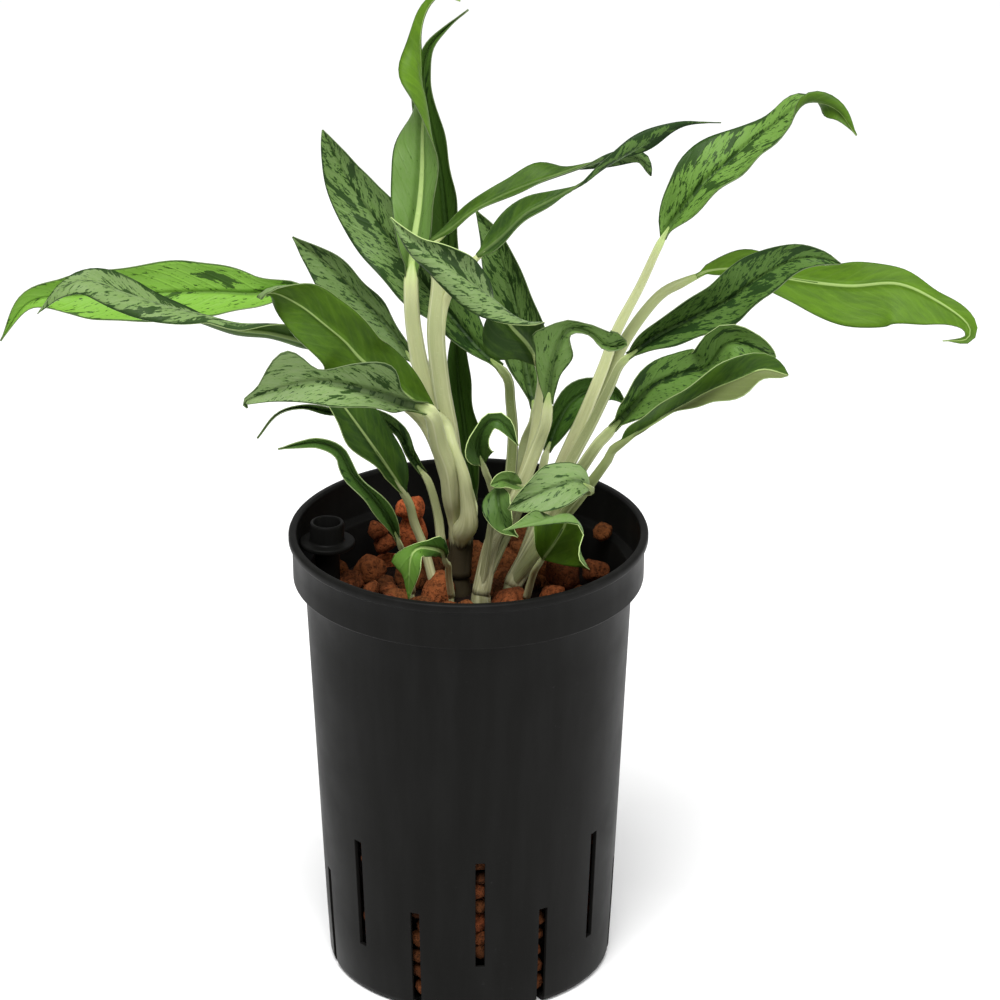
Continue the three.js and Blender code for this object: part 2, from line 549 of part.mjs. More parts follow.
function leafBody(leaf) {
  const curve = curveThrough(leaf.rib.map(vector));
  const stations = THREE.MathUtils.clamp(Math.round(curve.getLength() / blade.stationLength), 7, 16);
  const cells = blade.halfCells;
  const sheet = [];
  for (let j = 0; j <= stations; j += 1) {
    const s = j / stations;
    const centre = curve.getPointAt(s);
    const heading = curve.getTangentAt(s);
    const side = heading.clone().cross(blade.face).normalize();
    const up = side.clone().cross(heading);
    const start = leaf.girth[1] * 0.9 * (1 - s);
    const even = leaf.half * bladeShape(s, leaf.belly ?? 0.8, leaf.tip);
    const halves = [leaf.leftWide ?? usual, leaf.rightWide ?? usual]
      .map((wide) => Math.max(even * along(wide, s), start, 0.3));
    const row = [];
    for (let i = -cells; i <= cells; i += 1) {
      const v = Math.abs(i) / cells;
      const [list, half] = i < 0 ? [leaf.left, halves[0]] : [leaf.right, halves[1]];
      const turn = THREE.MathUtils.degToRad(along(list, s)) * (0.5 + 0.5 * v);
      const out = side.clone()
        .multiplyScalar(Math.sign(i) * Math.cos(turn))
        .addScaledVector(up, Math.sin(turn));
      row.push(centre.clone().addScaledVector(out, half * v));
    }
    sheet.push(row);
  }
  const width = cells * 2;
  const rings = sheet.map((row, j) => {
    const before = sheet[Math.max(0, j - 1)];
    const after = sheet[Math.min(stations, j + 1)];
    const keel = blade.keel * (1 - j / stations);
    const [above, below] = leaf.under ? [keel, 0] : [0, keel];
    const depth = (i, rise) => blade.thick / 2 + (i === cells ? rise : 0);
    const normals = row.map((point, i) => {
      const across = row[Math.min(width, i + 1)].clone().sub(row[Math.max(0, i - 1)]);
      const lengthwise = after[i].clone().sub(before[i]);
      return across.cross(lengthwise).normalize();
    });
    const top = row.map((point, i) => point.clone().addScaledVector(normals[i], depth(i, above)));
    const bottom = row.map((point, i) => point.clone().addScaledVector(normals[i], -depth(i, below)));
    return [...top, ...bottom.reverse()];
  });
  return loft(rings);
}

// ---- clay ----
function clayBody(standing) {
  const { baseRadius, neckRadius, wall, floor, collarHeight, height } = pot;
  const slope = (neckRadius - baseRadius) / (height - collarHeight);
  const insideAt = (z) => baseRadius + slope * z - wall - gap;
  const core = turned([
    [0, floor + gap],
    [insideAt(0) - 2.2, floor + gap],
    [insideAt(5) - 0.5, floor + 4],
    [insideAt(clay.top - 4), clay.top - 4],
    [insideAt(clay.top) - 3, clay.top],
    [0, clay.top],
  ], clay.sides);
  const draw = dice(clay.seed);
  const pieces = [core];
  const golden = Math.PI * (3 - Math.sqrt(5));
  for (let k = 0; k < clay.pebbles; k += 1) {
    const size = THREE.MathUtils.lerp(clay.smallest, clay.largest, draw() ** 1.6);
    const reach = (insideAt(clay.top) - size - gap * 2) * Math.sqrt((k + 0.5) / clay.pebbles);
    const angle = k * golden + (draw() - 0.5) * 0.3;
    const sink = size * (0.1 + 0.35 * draw());
    const pebble = new THREE.IcosahedronGeometry(size, 0)
      .rotateZ(draw() * 6)
      .rotateX(draw() * 6)
      .scale(1, 0.9, clay.flat)
      .translate(reach * Math.cos(angle), reach * Math.sin(angle), clay.top + size * clay.flat - sink);
    pieces.push(solid(pebble));
  }
  const { x, y, z, size, rise } = clay.high;
  const high = new THREE.IcosahedronGeometry(size, 0).rotateZ(1).scale(1, 0.9, rise);
  pieces.push(solid(high.translate(x, y, z)));
  const whole = wasm.Manifold.union(pieces);
  return mainBody(whole.subtract(wasm.Manifold.union(standing)));
}

// ---- the whole plant ----
const plant = new THREE.Group();
plant.add(named('pot', potBody(), colours.pot));
plant.add(named('gauge_socket', gaugeSocket(), colours.pot));

const shootNames = Object.keys(shoots);
const standing = shootNames.map((name) => shootBody(name, gap));
standing.push(gaugeSocket(gap));
plant.add(named('clay_pebbles', clayBody(standing), colours.clay));
for (const name of shootNames) plant.add(named(`shoot_${name}`, shootBody(name), colours.stalk));
for (const [name, leaf] of Object.entries(leaves)) plant.add(named(name, leafBody(leaf), colours.leaf));

export default plant;
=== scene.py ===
# A potted chinese evergreen: slotted culture pot, water gauge socket, expanded clay, shoots and leaves.
# Distances are in millimetres and go through mm() to metres.
import bpy, bmesh, math, random
from mathutils import Matrix, Vector, noise


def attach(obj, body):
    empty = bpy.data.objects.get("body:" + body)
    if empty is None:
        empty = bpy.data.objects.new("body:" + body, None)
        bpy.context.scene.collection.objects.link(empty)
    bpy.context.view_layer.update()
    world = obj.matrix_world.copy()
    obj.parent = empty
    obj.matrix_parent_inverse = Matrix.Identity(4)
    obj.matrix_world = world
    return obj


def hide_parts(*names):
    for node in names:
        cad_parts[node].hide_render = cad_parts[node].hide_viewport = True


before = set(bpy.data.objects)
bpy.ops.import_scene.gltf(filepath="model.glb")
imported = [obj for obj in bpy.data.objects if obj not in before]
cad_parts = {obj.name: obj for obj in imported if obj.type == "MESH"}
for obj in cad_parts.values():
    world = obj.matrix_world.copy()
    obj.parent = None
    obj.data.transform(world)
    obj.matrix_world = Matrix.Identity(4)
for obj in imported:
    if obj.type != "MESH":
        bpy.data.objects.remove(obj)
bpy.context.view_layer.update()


def mm(*values):
    if len(values) == 1:
        return values[0] / 1000
    return Vector(values) / 1000


def addObject(name, data):
    thing = bpy.data.objects.new(name, data)
    bpy.context.scene.collection.objects.link(thing)
    return thing


# camera, floor and light
camera = {
    "place": (12.8, -1775.0, 999.2),
    "tiltDown": 24.11,  # degrees below the horizon
    "lens": 173.2,  # on a 36 mm sensor
}
studio = {
    "floorSize": 60,  # metres, so that its far edge is out of view from low angles too
    "floorColour": (0.93, 0.93, 0.93),
    "skyColour": (1.0, 1.0, 1.0),
    "skyStrength": 0.55,
    "aim": (0, 0, 220),
    "key": {"place": (-250, -1000, 2400), "size": 1.4, "power": 84},
    "side": {"place": (1700, -500, 900), "size": 0.8, "power": 12},
    "colourView": "Standard",  # shows pale surfaces as white, as a catalogue photo does
}


def makeCamera():
    data = bpy.data.cameras.new("camera")
    data.lens = camera["lens"]
    data.sensor_width = 36
    data.clip_end = 100
    eye = addObject("camera", data)
    eye.location = mm(*camera["place"])
    eye.rotation_euler = (math.radians(90 - camera["tiltDown"]), 0, 0)
    bpy.context.scene.camera = eye
    print("camera")


def softLight(name, place, size, power):
    data = bpy.data.lights.new(name, "AREA")
    data.size = size
    data.energy = power
    lamp = addObject(name, data)
    lamp.location = mm(*place)
    lamp.rotation_mode = "QUATERNION"
    lamp.rotation_quaternion = (mm(*studio["aim"]) - lamp.location).to_track_quat("-Z", "Y")


def makeStudio():
    bm = bmesh.new()
    bmesh.ops.create_grid(bm, x_segments=1, y_segments=1, size=studio["floorSize"] / 2)
    mesh = bpy.data.meshes.new("floor")
    bm.to_mesh(mesh)
    bm.free()
    pale, shader = newMaterial("paleFloor", 0.9)
    shader.inputs["Base Color"].default_value = (*studio["floorColour"], 1)
    mesh.materials.append(pale)
    addObject("floor", mesh)
    world = bpy.data.worlds.new("studio")
    world.use_nodes = True
    sky = world.node_tree.nodes["Background"]
    sky.inputs["Color"].default_value = (*studio["skyColour"], 1)
    sky.inputs["Strength"].default_value = studio["skyStrength"]
    bpy.context.scene.world = world
    softLight("keyLight", **studio["key"])
    softLight("sideLight", **studio["side"])
    bpy.context.scene.view_settings.view_transform = studio["colourView"]
    print("studio: floor and 2 lights")


# small tools for materials
def newMaterial(name, roughness, gloss=0.5):
    material = bpy.data.materials.new(name)
    material.use_nodes = True
    shader = material.node_tree.nodes["Principled BSDF"]
    shader.inputs["Roughness"].default_value = roughness
    shader.inputs["Specular IOR Level"].default_value = gloss
    return material, shader


def addNode(tree, kind, values=(), **settings):
    node = tree.nodes.new("ShaderNode" + kind)
    for name, value in settings.items():
        setattr(node, name, value)
    for name, value in dict(values).items():
        if isinstance(value, bpy.types.NodeSocket):
            tree.links.new(value, node.inputs[name])
        else:
            node.inputs[name].default_value = value
    return node


# the next ones put their node into the tree of the socket that they are given
def maths(operation, first, second=0.0):
    tree = (first if isinstance(first, bpy.types.NodeSocket) else second).id_data
    return addNode(tree, "Math", {0: first, 1: second}, operation=operation).outputs[0]


def plus(first, second):
    return maths("ADD", first, second)


def minus(first, second):
    return maths("SUBTRACT", first, second)


def times(first, second):
    return maths("MULTIPLY", first, second)


def span(value, low, high, toLow=0.0, toHigh=1.0):
    # a smooth step of value from low to high
    ends = {"Value": value, "From Min": low, "From Max": high, "To Min": toLow, "To Max": toHigh}
    return addNode(value.id_data, "MapRange", ends, interpolation_type="SMOOTHSTEP").outputs["Result"]


def blend(share, first, second):
    first, second = [(*side, 1) if isinstance(side, tuple) else side for side in (first, second)]
    return addNode(share.id_data, "Mix", {0: share, 6: first, 7: second}, data_type="RGBA").outputs[2]


def cloud(place, scale, detail=2.0, roughness=0.5):
    values = {"Vector": place, "Scale": scale, "Detail": detail, "Roughness": roughness}
    return addNode(place.id_data, "TexNoise", values).outputs["Fac"]


def triple(x, y, z):
    return addNode(x.id_data, "CombineXYZ", {0: x, 1: y, 2: z}).outputs[0]


def stored(tree, name):
    # the three numbers of an attribute that the piece's mesh carries
    node = addNode(tree, "Attribute", attribute_name=name)
    apart = addNode(tree, "SeparateXYZ", {0: node.outputs["Vector"]})
    return apart.outputs[0], apart.outputs[1], apart.outputs[2]


def paint(shader, colour, name="Base Color"):
    colour.id_data.links.new(colour, shader.inputs[name])


def glow(shader, weight, reach, depth):
    # light that goes a little way into the surface
    values = {"Subsurface Weight": weight, "Subsurface Radius": reach, "Subsurface Scale": mm(depth)}
    for name, value in values.items():
        shader.inputs[name].default_value = value


def relief(shader, height, depth, strength):
    values = {"Height": height, "Distance": mm(depth), "Strength": strength}
    paint(shader, addNode(height.id_data, "Bump", values).outputs[0], "Normal")


# small tools for shapes
def along(points, t):
    # the place at t, from 0 to 1, on a smooth line through evenly counted points or numbers
    last = len(points) - 1
    place = min(max(t, 0.0), 1.0) * last
    i = min(int(place), last - 1)
    w = place - i
    b, c = points[i], points[i + 1]
    a = points[i - 1] if i > 0 else b * 2 - c
    d = points[i + 2] if i + 2 <= last else c * 2 - b
    start, end = (c - a) / 2, (d - b) / 2
    return ((b - c) * 2 + start + end) * w**3 + ((c - b) * 3 - start * 2 - end) * w**2 + start * w + b


def evenly(points, steps):
    # places and headings at equal distances along the smooth line, and its length
    fine = 240
    places = [along(points, k / fine) for k in range(fine + 1)]
    reach = [0.0]
    for k in range(fine):
        reach.append(reach[-1] + (places[k + 1] - places[k]).length)
    stops, k = [], 0
    for j in range(steps + 1):
        wanted = reach[-1] * j / steps
        while k < fine - 1 and reach[k + 1] < wanted:
            k += 1
        share = (wanted - reach[k]) / max(reach[k + 1] - reach[k], 1e-9)
        t = (k + min(max(share, 0.0), 1.0)) / fine
        heading = along(points, min(t + 0.004, 1)) - along(points, max(t - 0.004, 0))
        stops.append((along(points, t), heading.normalized()))
    return stops, reach[-1]


def finishPiece(bm, name, materials, nodes):
    mesh = bpy.data.meshes.new(name)
    bm.to_mesh(mesh)
    bm.free()
    mesh.polygons.foreach_set("use_smooth", [True] * len(mesh.polygons))
    for material in materials:
        mesh.materials.append(material)
    piece = addObject(name, mesh)
    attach(piece, "root")
    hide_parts(*nodes)
    return piece


def addSheet(bm, across, lengthwise, place, marks):
    # a grid of cells moved to place(i, j). marks(i, j) gives what the material reads there
    made = bmesh.ops.create_grid(bm, x_segments=across, y_segments=lengthwise, size=1)["verts"]
    layers = {}
    for vert in made:
        i = round((vert.co.x + 1) / 2 * across)
        j = round((vert.co.y + 1) / 2 * lengthwise)
        for name, value in marks(i, j).items():
            if name not in layers:
                layers[name] = bm.verts.layers.float_vector.get(name)
            vert[layers[name]] = value
        vert.co = place(i, j) / 1000
    return made


def addTurned(bm, outline, steps, closed=False):
    # an outline of radius and height, turned round the upright axis
    verts = [bm.verts.new(mm(radius, 0, z)) for radius, z in outline]
    onward = verts[1:] + (verts[:1] if closed else [])
    edges = [bm.edges.new(pair) for pair in zip(verts, onward)]
    bmesh.ops.spin(
        bm, geom=verts + edges, cent=(0, 0, 0), axis=(0, 0, 1), angle=math.tau, steps=steps, use_merge=True
    )
    bmesh.ops.remove_doubles(bm, verts=bm.verts, dist=mm(0.01))


def softenEdges(piece, width, angle):
    edge = piece.modifiers.new("softEdges", "BEVEL")
    edge.width = mm(width)
    edge.segments = 2
    edge.limit_method = "ANGLE"
    edge.angle_limit = math.radians(angle)
    return edge


# pot
pot = {
    "height": 192,
    "rimRadius": 73,
    "collarRadius": 71.3,
    "collarHeight": 20,
    "neckRadius": 66.6,  # of the wall, just under the collar
    "baseRadius": 58.6,
    "wall": 1.7,
    "floor": 2.4,
    "slots": 14,
    "slotTurn": 4.5,  # degrees from the front to the first slot
    "slotWidth": 3.8,
    "upperSlot": (22.4, 71.4),
    "lowerSlot": (-1, 45.8),
    "slotReach": 6,  # how far a lower slot cuts into the base
    "ringsAbove": (118, 152),  # heights where the wall above the slots is divided
    "cellsPerSlot": 10,
    "plastic": (0.0054, 0.0053, 0.0048),
    "scuff": (0.030, 0.030, 0.030),
    "roughness": 0.48,
    "gloss": 0.055,
}


def plasticMaterial():
    material, shader = newMaterial("blackPlastic", pot["roughness"], pot["gloss"])
    tree = material.node_tree
    place = addNode(tree, "TexCoord").outputs["Object"]
    apart = addNode(tree, "SeparateXYZ", {0: place})
    upright = triple(apart.outputs[0], apart.outputs[1], times(apart.outputs[2], 0.12))
    grain = cloud(place, 1900, 2, 0.6)
    streaks = cloud(upright, 130, 4, 0.6)
    patches = cloud(place, 26, 4, 0.6)
    scuffs = span(cloud(place, 420, 5, 0.7), 0.62, 0.72)
    worn = times(scuffs, span(patches, 0.45, 0.7, 0.0, 0.5))
    tint = plus(worn, span(streaks, 0.3, 0.8, 0.0, 0.10))
    paint(shader, blend(tint, pot["plastic"], pot["scuff"]))
    paint(shader, span(patches, 0.3, 0.7, 0.38, 0.5), "Roughness")
    uneven = plus(times(grain, 0.25), times(streaks, 0.4))
    relief(shader, uneven, 0.12, 0.5)
    return material


def potProfile():
    # radius and height of the closed wall section, from the middle of the base round to the floor inside
    height, wall, floor = pot["height"], pot["wall"], pot["floor"]
    base, neck, collar, rim = pot["baseRadius"], pot["neckRadius"], pot["collarRadius"], pot["rimRadius"]
    step = height - pot["collarHeight"]
    low, middle, high = pot["upperSlot"][0], pot["lowerSlot"][1], pot["upperSlot"][1]
    slope = (neck - base) / step

    def outside(z):
        return base + slope * z

    cut = base - pot["slotReach"]
    inside = collar - wall
    levels = low, middle, high, *pot["ringsAbove"]
    return [
        (0.0, 0.6), (9, 0.6), (10, 0.0), (38, 0.0), (cut, 0.0), (base - 3.2, 0.0), (base - 1.7, 0.4),
        (base - 0.6, 1.4), (base - 0.05, 3.2), *[(outside(z), z) for z in (*levels, step - 1.2)],
        (outside(step) + 0.5, step), (collar - 0.5, step), (collar, step + 0.6), (collar + 0.1, step + 8),
        (collar + 0.2, height - 4.6), (collar + 0.5, height - 4), (rim - 0.5, height - 3.5),
        (rim, height - 2.8), (rim, height - 1.1), (rim - 0.3, height - 0.4), (rim - 0.9, height),
        (inside + 0.8, height), (inside + 0.2, height - 0.5), (inside, height - 1.4),
        (inside - 0.1, step + wall + 1.4), (inside - 0.5, step + wall + 0.7),
        (outside(step) - wall + 0.6, step + wall - 0.2), (outside(step) - wall, step + wall - 1),
        *[(outside(z) - wall, z) for z in reversed(levels)], (outside(5) - wall, floor + 2.6),
        (base - wall - 0.9, floor + 1.0), (base - wall - 1.9, floor + 0.3), (base - wall - 3, floor),
        (cut, floor), (38, floor), (0.0, floor),
    ]


def makePot(material):
    bm = bmesh.new()
    cells = pot["cellsPerSlot"]
    columns = pot["slots"] * cells
    addTurned(bm, potProfile(), columns)
    pitch = math.tau / pot["slots"]
    slotTurn = pot["slotWidth"] / (pot["baseRadius"] + 2)
    column = {}
    for vert in bm.verts:  # columns move sideways, so that the first one of each pitch is a slot's width
        radius = vert.co.xy.length
        if radius < mm(0.1):
            column[vert] = None
            continue
        index = round(math.atan2(vert.co.y, vert.co.x) / math.tau * columns) % columns
        group, step = divmod(index, cells)
        column[vert] = index
        turn = -slotTurn / 2
        if step > 0:
            turn = slotTurn / 2 + (pitch - slotTurn) * (step - 1) / (cells - 1)
        angle = math.radians(pot["slotTurn"] - 90) + group * pitch + turn
        vert.co.x, vert.co.y = radius * math.cos(angle), radius * math.sin(angle)
    openings = {}
    for face in bm.faces:
        here = {column[vert] for vert in face.verts}
        if None in here or len(here) != 2 or {index % cells for index in here} != {0, 1}:
            continue
        group = min(here) // cells
        low, high = pot["lowerSlot"] if group % 2 else pot["upperSlot"]
        centre = face.calc_center_median() * 1000
        if low < centre.z < high and centre.xy.length > pot["baseRadius"] - pot["slotReach"]:
            openings.setdefault(group, []).append(face)
    for group, faces in openings.items():
        inner = set(faces)
        border = [edge for face in faces for edge in face.edges if not set(edge.link_faces) <= inner]
        bmesh.ops.delete(bm, geom=faces, context="FACES")
        bmesh.ops.bridge_loops(bm, edges=[edge for edge in border if edge.is_valid])
    bmesh.ops.recalc_face_normals(bm, faces=bm.faces)
    piece = finishPiece(bm, "culturePot", [material], ["pot"])
    softenEdges(piece, 0.25, 38).harden_normals = True
    print("pot:", pot["slots"], "slots")


# water gauge socket
gauge = {
    "place": (-57.6, 8),
    "outline": [  # radius and height, from the spigot's mouth up the outside and back down the bore
        (3.6, 150), (4.9, 150), (5, 150.3), (5, 181.0), (5.6, 181.4), (10.9, 181.4), (11.3, 181.8),
        (11.3, 183.0), (10.9, 183.4), (7.6, 183.4), (7, 184.0), (7, 190.6), (6.7, 191.4), (6.3, 191.6),
        (5.8, 191.6), (5.5, 191.2), (5.5, 183.0), (5.2, 182.6), (4.0, 182.6), (3.6, 182.2),
    ],
    "spigotRadius": 5,
    "steps": 64,
}


def makeGauge(material):
    bm = bmesh.new()
    addTurned(bm, gauge["outline"], gauge["steps"], closed=True)
    bmesh.ops.recalc_face_normals(bm, faces=bm.faces)
    bmesh.ops.translate(bm, verts=bm.verts, vec=mm(*gauge["place"], 0))
    piece = finishPiece(bm, "gaugeSocket", [material], ["gauge_socket"])
    softenEdges(piece, 0.2, 40)
    print("gauge socket")


# expanded clay
clay = {
    "cores": [(9, 82, 9), (80, 157.5, 2.5)],  # foot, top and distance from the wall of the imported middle
    "gridWidth": 140,
    "spacing": 12.2,
    "offGrid": 2.6,  # how far a pebble lies off its place in the grid
    "sizes": (5.0, 8.6),  # radius of the pebbles on top
    "layers": [  # height, share of the places that are filled, seed, fineness
        (153.5, 1.0, 11, 2), (159.5, 0.85, 12, 3), (165.5, 0.24, 14, 3),
    ],
    "slotSizes": (3.2, 5.2),
    "known": [  # place, radius and how orange, of the pebbles that can be told apart from the front
        ((-24.5, 46, 180), 6.2, 1.0), ((-24, 48, 169), 6.5, 0.6), ((-38, 38, 174), 4.6, 0.2),
        ((-35, 38, 168), 4.8, 0.25), ((-41, 25, 162), 7.4, 0.1), ((-12.6, 1.5, 163), 7.6, 0.15),
        ((17, 0, 160), 6.6, 0.15), ((39, 17, 165), 7.6, 0.12), ((52, 18, 165), 5.4, 0.1),
        ((55, 29.5, 177.5), 4, 0), ((-40, 8, 160), 4.6, 0.1), ((-32, 7, 160), 4.2, 0.1),
        ((-53, 17, 165), 4.2, 0.1), ((-49, 8, 163), 5.2, 0.1),
    ],
    "gap": (1, 4, 6),  # x, y and radius of a hole down to the painted-shade ground, behind the front pebbles
    "stretch": ((0.95, 1.25), (0.85, 1.08), (0.75, 0.98)),
    "flats": 7,  # broken faces of a pebble
    "flatAt": (0.72, 0.96),  # their distance from the middle, against the radius
    "clearOfWall": 0.35,
    "brown": (0.068, 0.023, 0.008),
    "red": (0.185, 0.061, 0.019),
    "orange": (0.640, 0.150, 0.050),
    # dark is painted shade: on the ground between pebbles, on the pebbles behind the slots (by slotShade)
    # and in the pores
    "dark": (0.012, 0.006, 0.004),
    "slotShade": 0.4,
    "gloss": 0.1,
}


def clayMaterial():
    material, shader = newMaterial("expandedClay", 0.92, clay["gloss"])
    tree = material.node_tree
    place = addNode(tree, "TexCoord").outputs["Object"]
    # depth is the share of painted shade
    tone, orange, depth = stored(tree, "pebble")
    patches = cloud(place, 210, 4, 0.65)
    shade = plus(times(tone, 0.55), times(patches, 0.9))
    fired = blend(span(shade, 0.35, 1.0), clay["brown"], clay["red"])
    ember = times(orange, span(patches, 0.3, 0.62, 0.5, 1.0))
    fired = blend(ember, fired, clay["orange"])
    pores = span(cloud(place, 620, 3, 0.65), 0.30, 0.55)
    grit = cloud(place, 2200, 3, 0.65)
    # painted shade in the pores
    fired = blend(span(pores, 0.0, 1.0, 0.5, 0.0), fired, clay["dark"])
    # painted shade: depth darkens the ground between pebbles and the pebbles behind the slots
    paint(shader, blend(depth, fired, clay["dark"]))
    rough = plus(times(pores, 0.8), times(grit, 0.45))
    relief(shader, rough, 0.9, 0.9)
    return material


def addPebble(bm, layer, draw, place, size, fineness, orange=0.0, depth=0.0):
    # depth is the share of painted shade that the pebble gets
    made = bmesh.ops.create_icosphere(bm, subdivisions=fineness, radius=1)["verts"]
    angle = draw.uniform(0, math.tau)
    turn = Matrix.Rotation(angle, 3, Vector((draw.uniform(-1, 1), draw.uniform(-1, 1), 1)))
    stretch = Vector([draw.uniform(*ends) for ends in clay["stretch"]])
    offset = Vector([draw.uniform(0, 90) for _ in range(3)])
    flats = []
    for _ in range(clay["flats"]):
        facing = Vector([draw.gauss(0, 1) for _ in range(3)]).normalized()
        flats.append((facing, draw.uniform(*clay["flatAt"])))
    tone = draw.random()
    for vert in made:
        way = vert.co.normalized()
        reach = 1.04 + noise.noise(way * 1.3 + offset) * 0.22
        for facing, distance in flats:
            towards = way.dot(facing)
            if towards > 0.3:
                reach = min(reach, distance / towards)
        reach += noise.noise(way * 4.2 + offset) * 0.09
        vert.co = turn @ (way * reach * stretch) * mm(size) + place / 1000
        vert[layer] = (tone, orange, depth)


def isClear(x, y, size, lowest):
    # keeps off the feet and the gauge socket and, above the lowest layer, off the gap and known pebbles
    stands = [*shoots.values(), (*gauge["place"], gauge["spigotRadius"])]
    if not lowest:
        stands.append(clay["gap"])
        stands += [(place[0], place[1], radius * 0.9) for place, radius, _ in clay["known"]]
    return all(math.hypot(x - a, y - b) > radius + size * 0.8 for a, b, radius in stands)


def makeClay(material):
    bm = bmesh.new()
    layer = bm.verts.layers.float_vector.new("pebble")
    slope = (pot["neckRadius"] - pot["baseRadius"]) / (pot["height"] - pot["collarHeight"])

    def insideAt(z):
        return pot["baseRadius"] + slope * z - pot["wall"] - clay["clearOfWall"]

    # the imported middle shows only as a ground between pebbles, painted wholly in shade colour
    for foot, head, inward in clay["cores"]:
        core = bmesh.ops.create_cone(
            bm, cap_ends=True, segments=48, depth=mm(head - foot), radius1=mm(insideAt(foot) - inward),
            radius2=mm(insideAt(head) - inward),
        )["verts"]
        bmesh.ops.translate(bm, verts=core, vec=mm(0, 0, (foot + head) / 2))
        for vert in core:
            vert[layer] = (0, 0, 1)
    count = 0
    smallest, largest = clay["sizes"]
    spacing, off = clay["spacing"], clay["offGrid"]
    half = int(clay["gridWidth"] / spacing) // 2
    for height, share, seed, fineness in clay["layers"]:
        draw = random.Random(seed)
        for row in range(-half - 1, half + 2):
            for step in range(-half - 1, half + 2):
                x = (step + (row % 2) * 0.5) * spacing + draw.uniform(-off, off) + seed % 3 * 2
                y = row * spacing * 0.87 + draw.uniform(-off, off) + seed % 2 * 3
                size = smallest + (largest - smallest) * draw.random() ** 1.5
                keep = draw.random() < share
                z = height + draw.uniform(-1.5, 2.2)
                orange = draw.random() ** 7 * 0.5
                if math.hypot(x, y) > insideAt(height) - size * 1.12 or not keep:
                    continue
                if not isClear(x, y, size, fineness < 3):
                    continue
                addPebble(bm, layer, draw, Vector((x, y, z)), size, fineness, orange)
                count += 1
    draw = random.Random(21)
    for place, size, orange in clay["known"]:
        addPebble(bm, layer, draw, Vector(place), size, 3, orange)
    for slot in range(pot["slots"]):  # pebbles lie behind each slot
        angle = math.radians(pot["slotTurn"] - 90 + 360 / pot["slots"] * slot)
        low, high = pot["lowerSlot"] if slot % 2 else pot["upperSlot"]
        z = max(low, 4) + 2
        while z < high + 2:
            size = draw.uniform(*clay["slotSizes"])
            turn = angle + draw.uniform(-1.6, 1.6) / 58
            reach = insideAt(z) - size * 1.08 - draw.uniform(0, 0.9)
            place = Vector((reach * math.cos(turn), reach * math.sin(turn), z + size * 0.6))
            orange = draw.random() ** 3 * 0.4
            # the pebbles behind the slots get painted shade
            addPebble(bm, layer, draw, place, size, 2, orange, clay["slotShade"])
            z += size * draw.uniform(1.5, 2.1)
            count += 1
    finishPiece(bm, "clayPebbles", [material], ["clay_pebbles"])
    print("clay:", count, "pebbles")


# shoots
shoots = {  # the feet where they enter the clay: x, y, radius
    "left": (-4, 13, 6.2),
    "centre": (5, -4, 5.6),
    "right": (18, 5, 5.6),
    "low": (-14, 3, 2),
    "narrow": (-23, -2, 1.6),
    "front": (-7, -6, 1.6),
    "pale": (23.5, -8, 1.7),
}
stalks = {
    "footTop": 171,
    "footBottom": 148,
    "cellsRound": 24,
    "cellLength": 2.6,
    "groove": 0.26,  # how deep the groove on the upper side is, against the radius
    "seam": 0.135,  # where the line beside the groove runs, in turns from the groove
    "torn": 5,  # how ragged the open end of a sheath is
    "cream": (0.62, 0.60, 0.36),
    "straw": (0.33, 0.31, 0.15),
    "pale": (0.46, 0.50, 0.25),
    "green": (0.105, 0.145, 0.036),
    "top": (0.30, 0.42, 0.12),  # where it runs into the midrib
    "brown": (0.036, 0.028, 0.015),  # dry skin, and painted shade on the left shoot's cane and low stalks
    "seamColour": (0.62, 0.64, 0.40),
    "caneTaper": 0.45,
    "scars": 5,  # rings on a cane where leaves grew
    # the darkening is painted shade on the left shoot's cane and low stalks, and dry skin on the others
    "canes": {"left": (0.9, 1.9), "centre": (0.3, 0.5), "right": (0.6, 0.5)},  # how green and how dark
    "dry": {"left": (183, 1.9), "centre": (205, 0.5)},  # up to which height stalks are darkened, and how much
    "turnLength": 5,  # over which a stalk turns into the midrib's direction
    "underBlade": 11,  # how far it runs on along the underside, where that faces the front
    "intoBlade": 4,  # and where it doesn't
}


def stalkMaterial():
    material, shader = newMaterial("stalkSkin", 0.42, 0.2)
    tree = material.node_tree
    up, around, lengthwise = stored(tree, "stalk")  # 0 at the clay and 1 at the blade, turns, millimetres
    seed, greenness, drynessAndShade = stored(tree, "skin")
    fibre = cloud(triple(times(around, 9.0), times(lengthwise, 0.03), seed), 2.4, 3, 0.55)
    patches = cloud(triple(around, times(lengthwise, 0.06), seed), 1.4, 3, 0.6)
    rise = plus(up, times(minus(patches, 0.5), 0.6))
    skin = blend(span(fibre, 0.38, 0.72, 0.0, 0.8), stalks["cream"], stalks["straw"])
    skin = blend(span(rise, 0.1, 0.8, 0.15, 0.9), skin, stalks["pale"])
    ripe = times(greenness, span(rise, 0.0, 0.8, 0.7, 1.0))
    skin = blend(ripe, skin, stalks["green"])
    fromGroove = maths("ABSOLUTE", minus(maths("FRACT", plus(around, 0.5)), 0.5))
    offSeam = maths("ABSOLUTE", minus(fromGroove, stalks["seam"]))
    skin = blend(span(offSeam, 0.022, 0.008, 0.0, 0.45), skin, stalks["seamColour"])
    skin = blend(span(up, 0.90, 1.0, 0.0, 0.85), skin, stalks["top"])
    # brown streaks: painted shade on the left shoot's cane and low stalks, dry skin on the others
    dry = times(drynessAndShade, span(fibre, 0.32, 0.68, 0.55, 1.0))
    skin = blend(dry, skin, stalks["brown"])
    paint(shader, skin)
    glow(shader, 0.15, (1.0, 0.9, 0.4), 1.5)
    relief(shader, fibre, 0.16, 0.5)
    return material


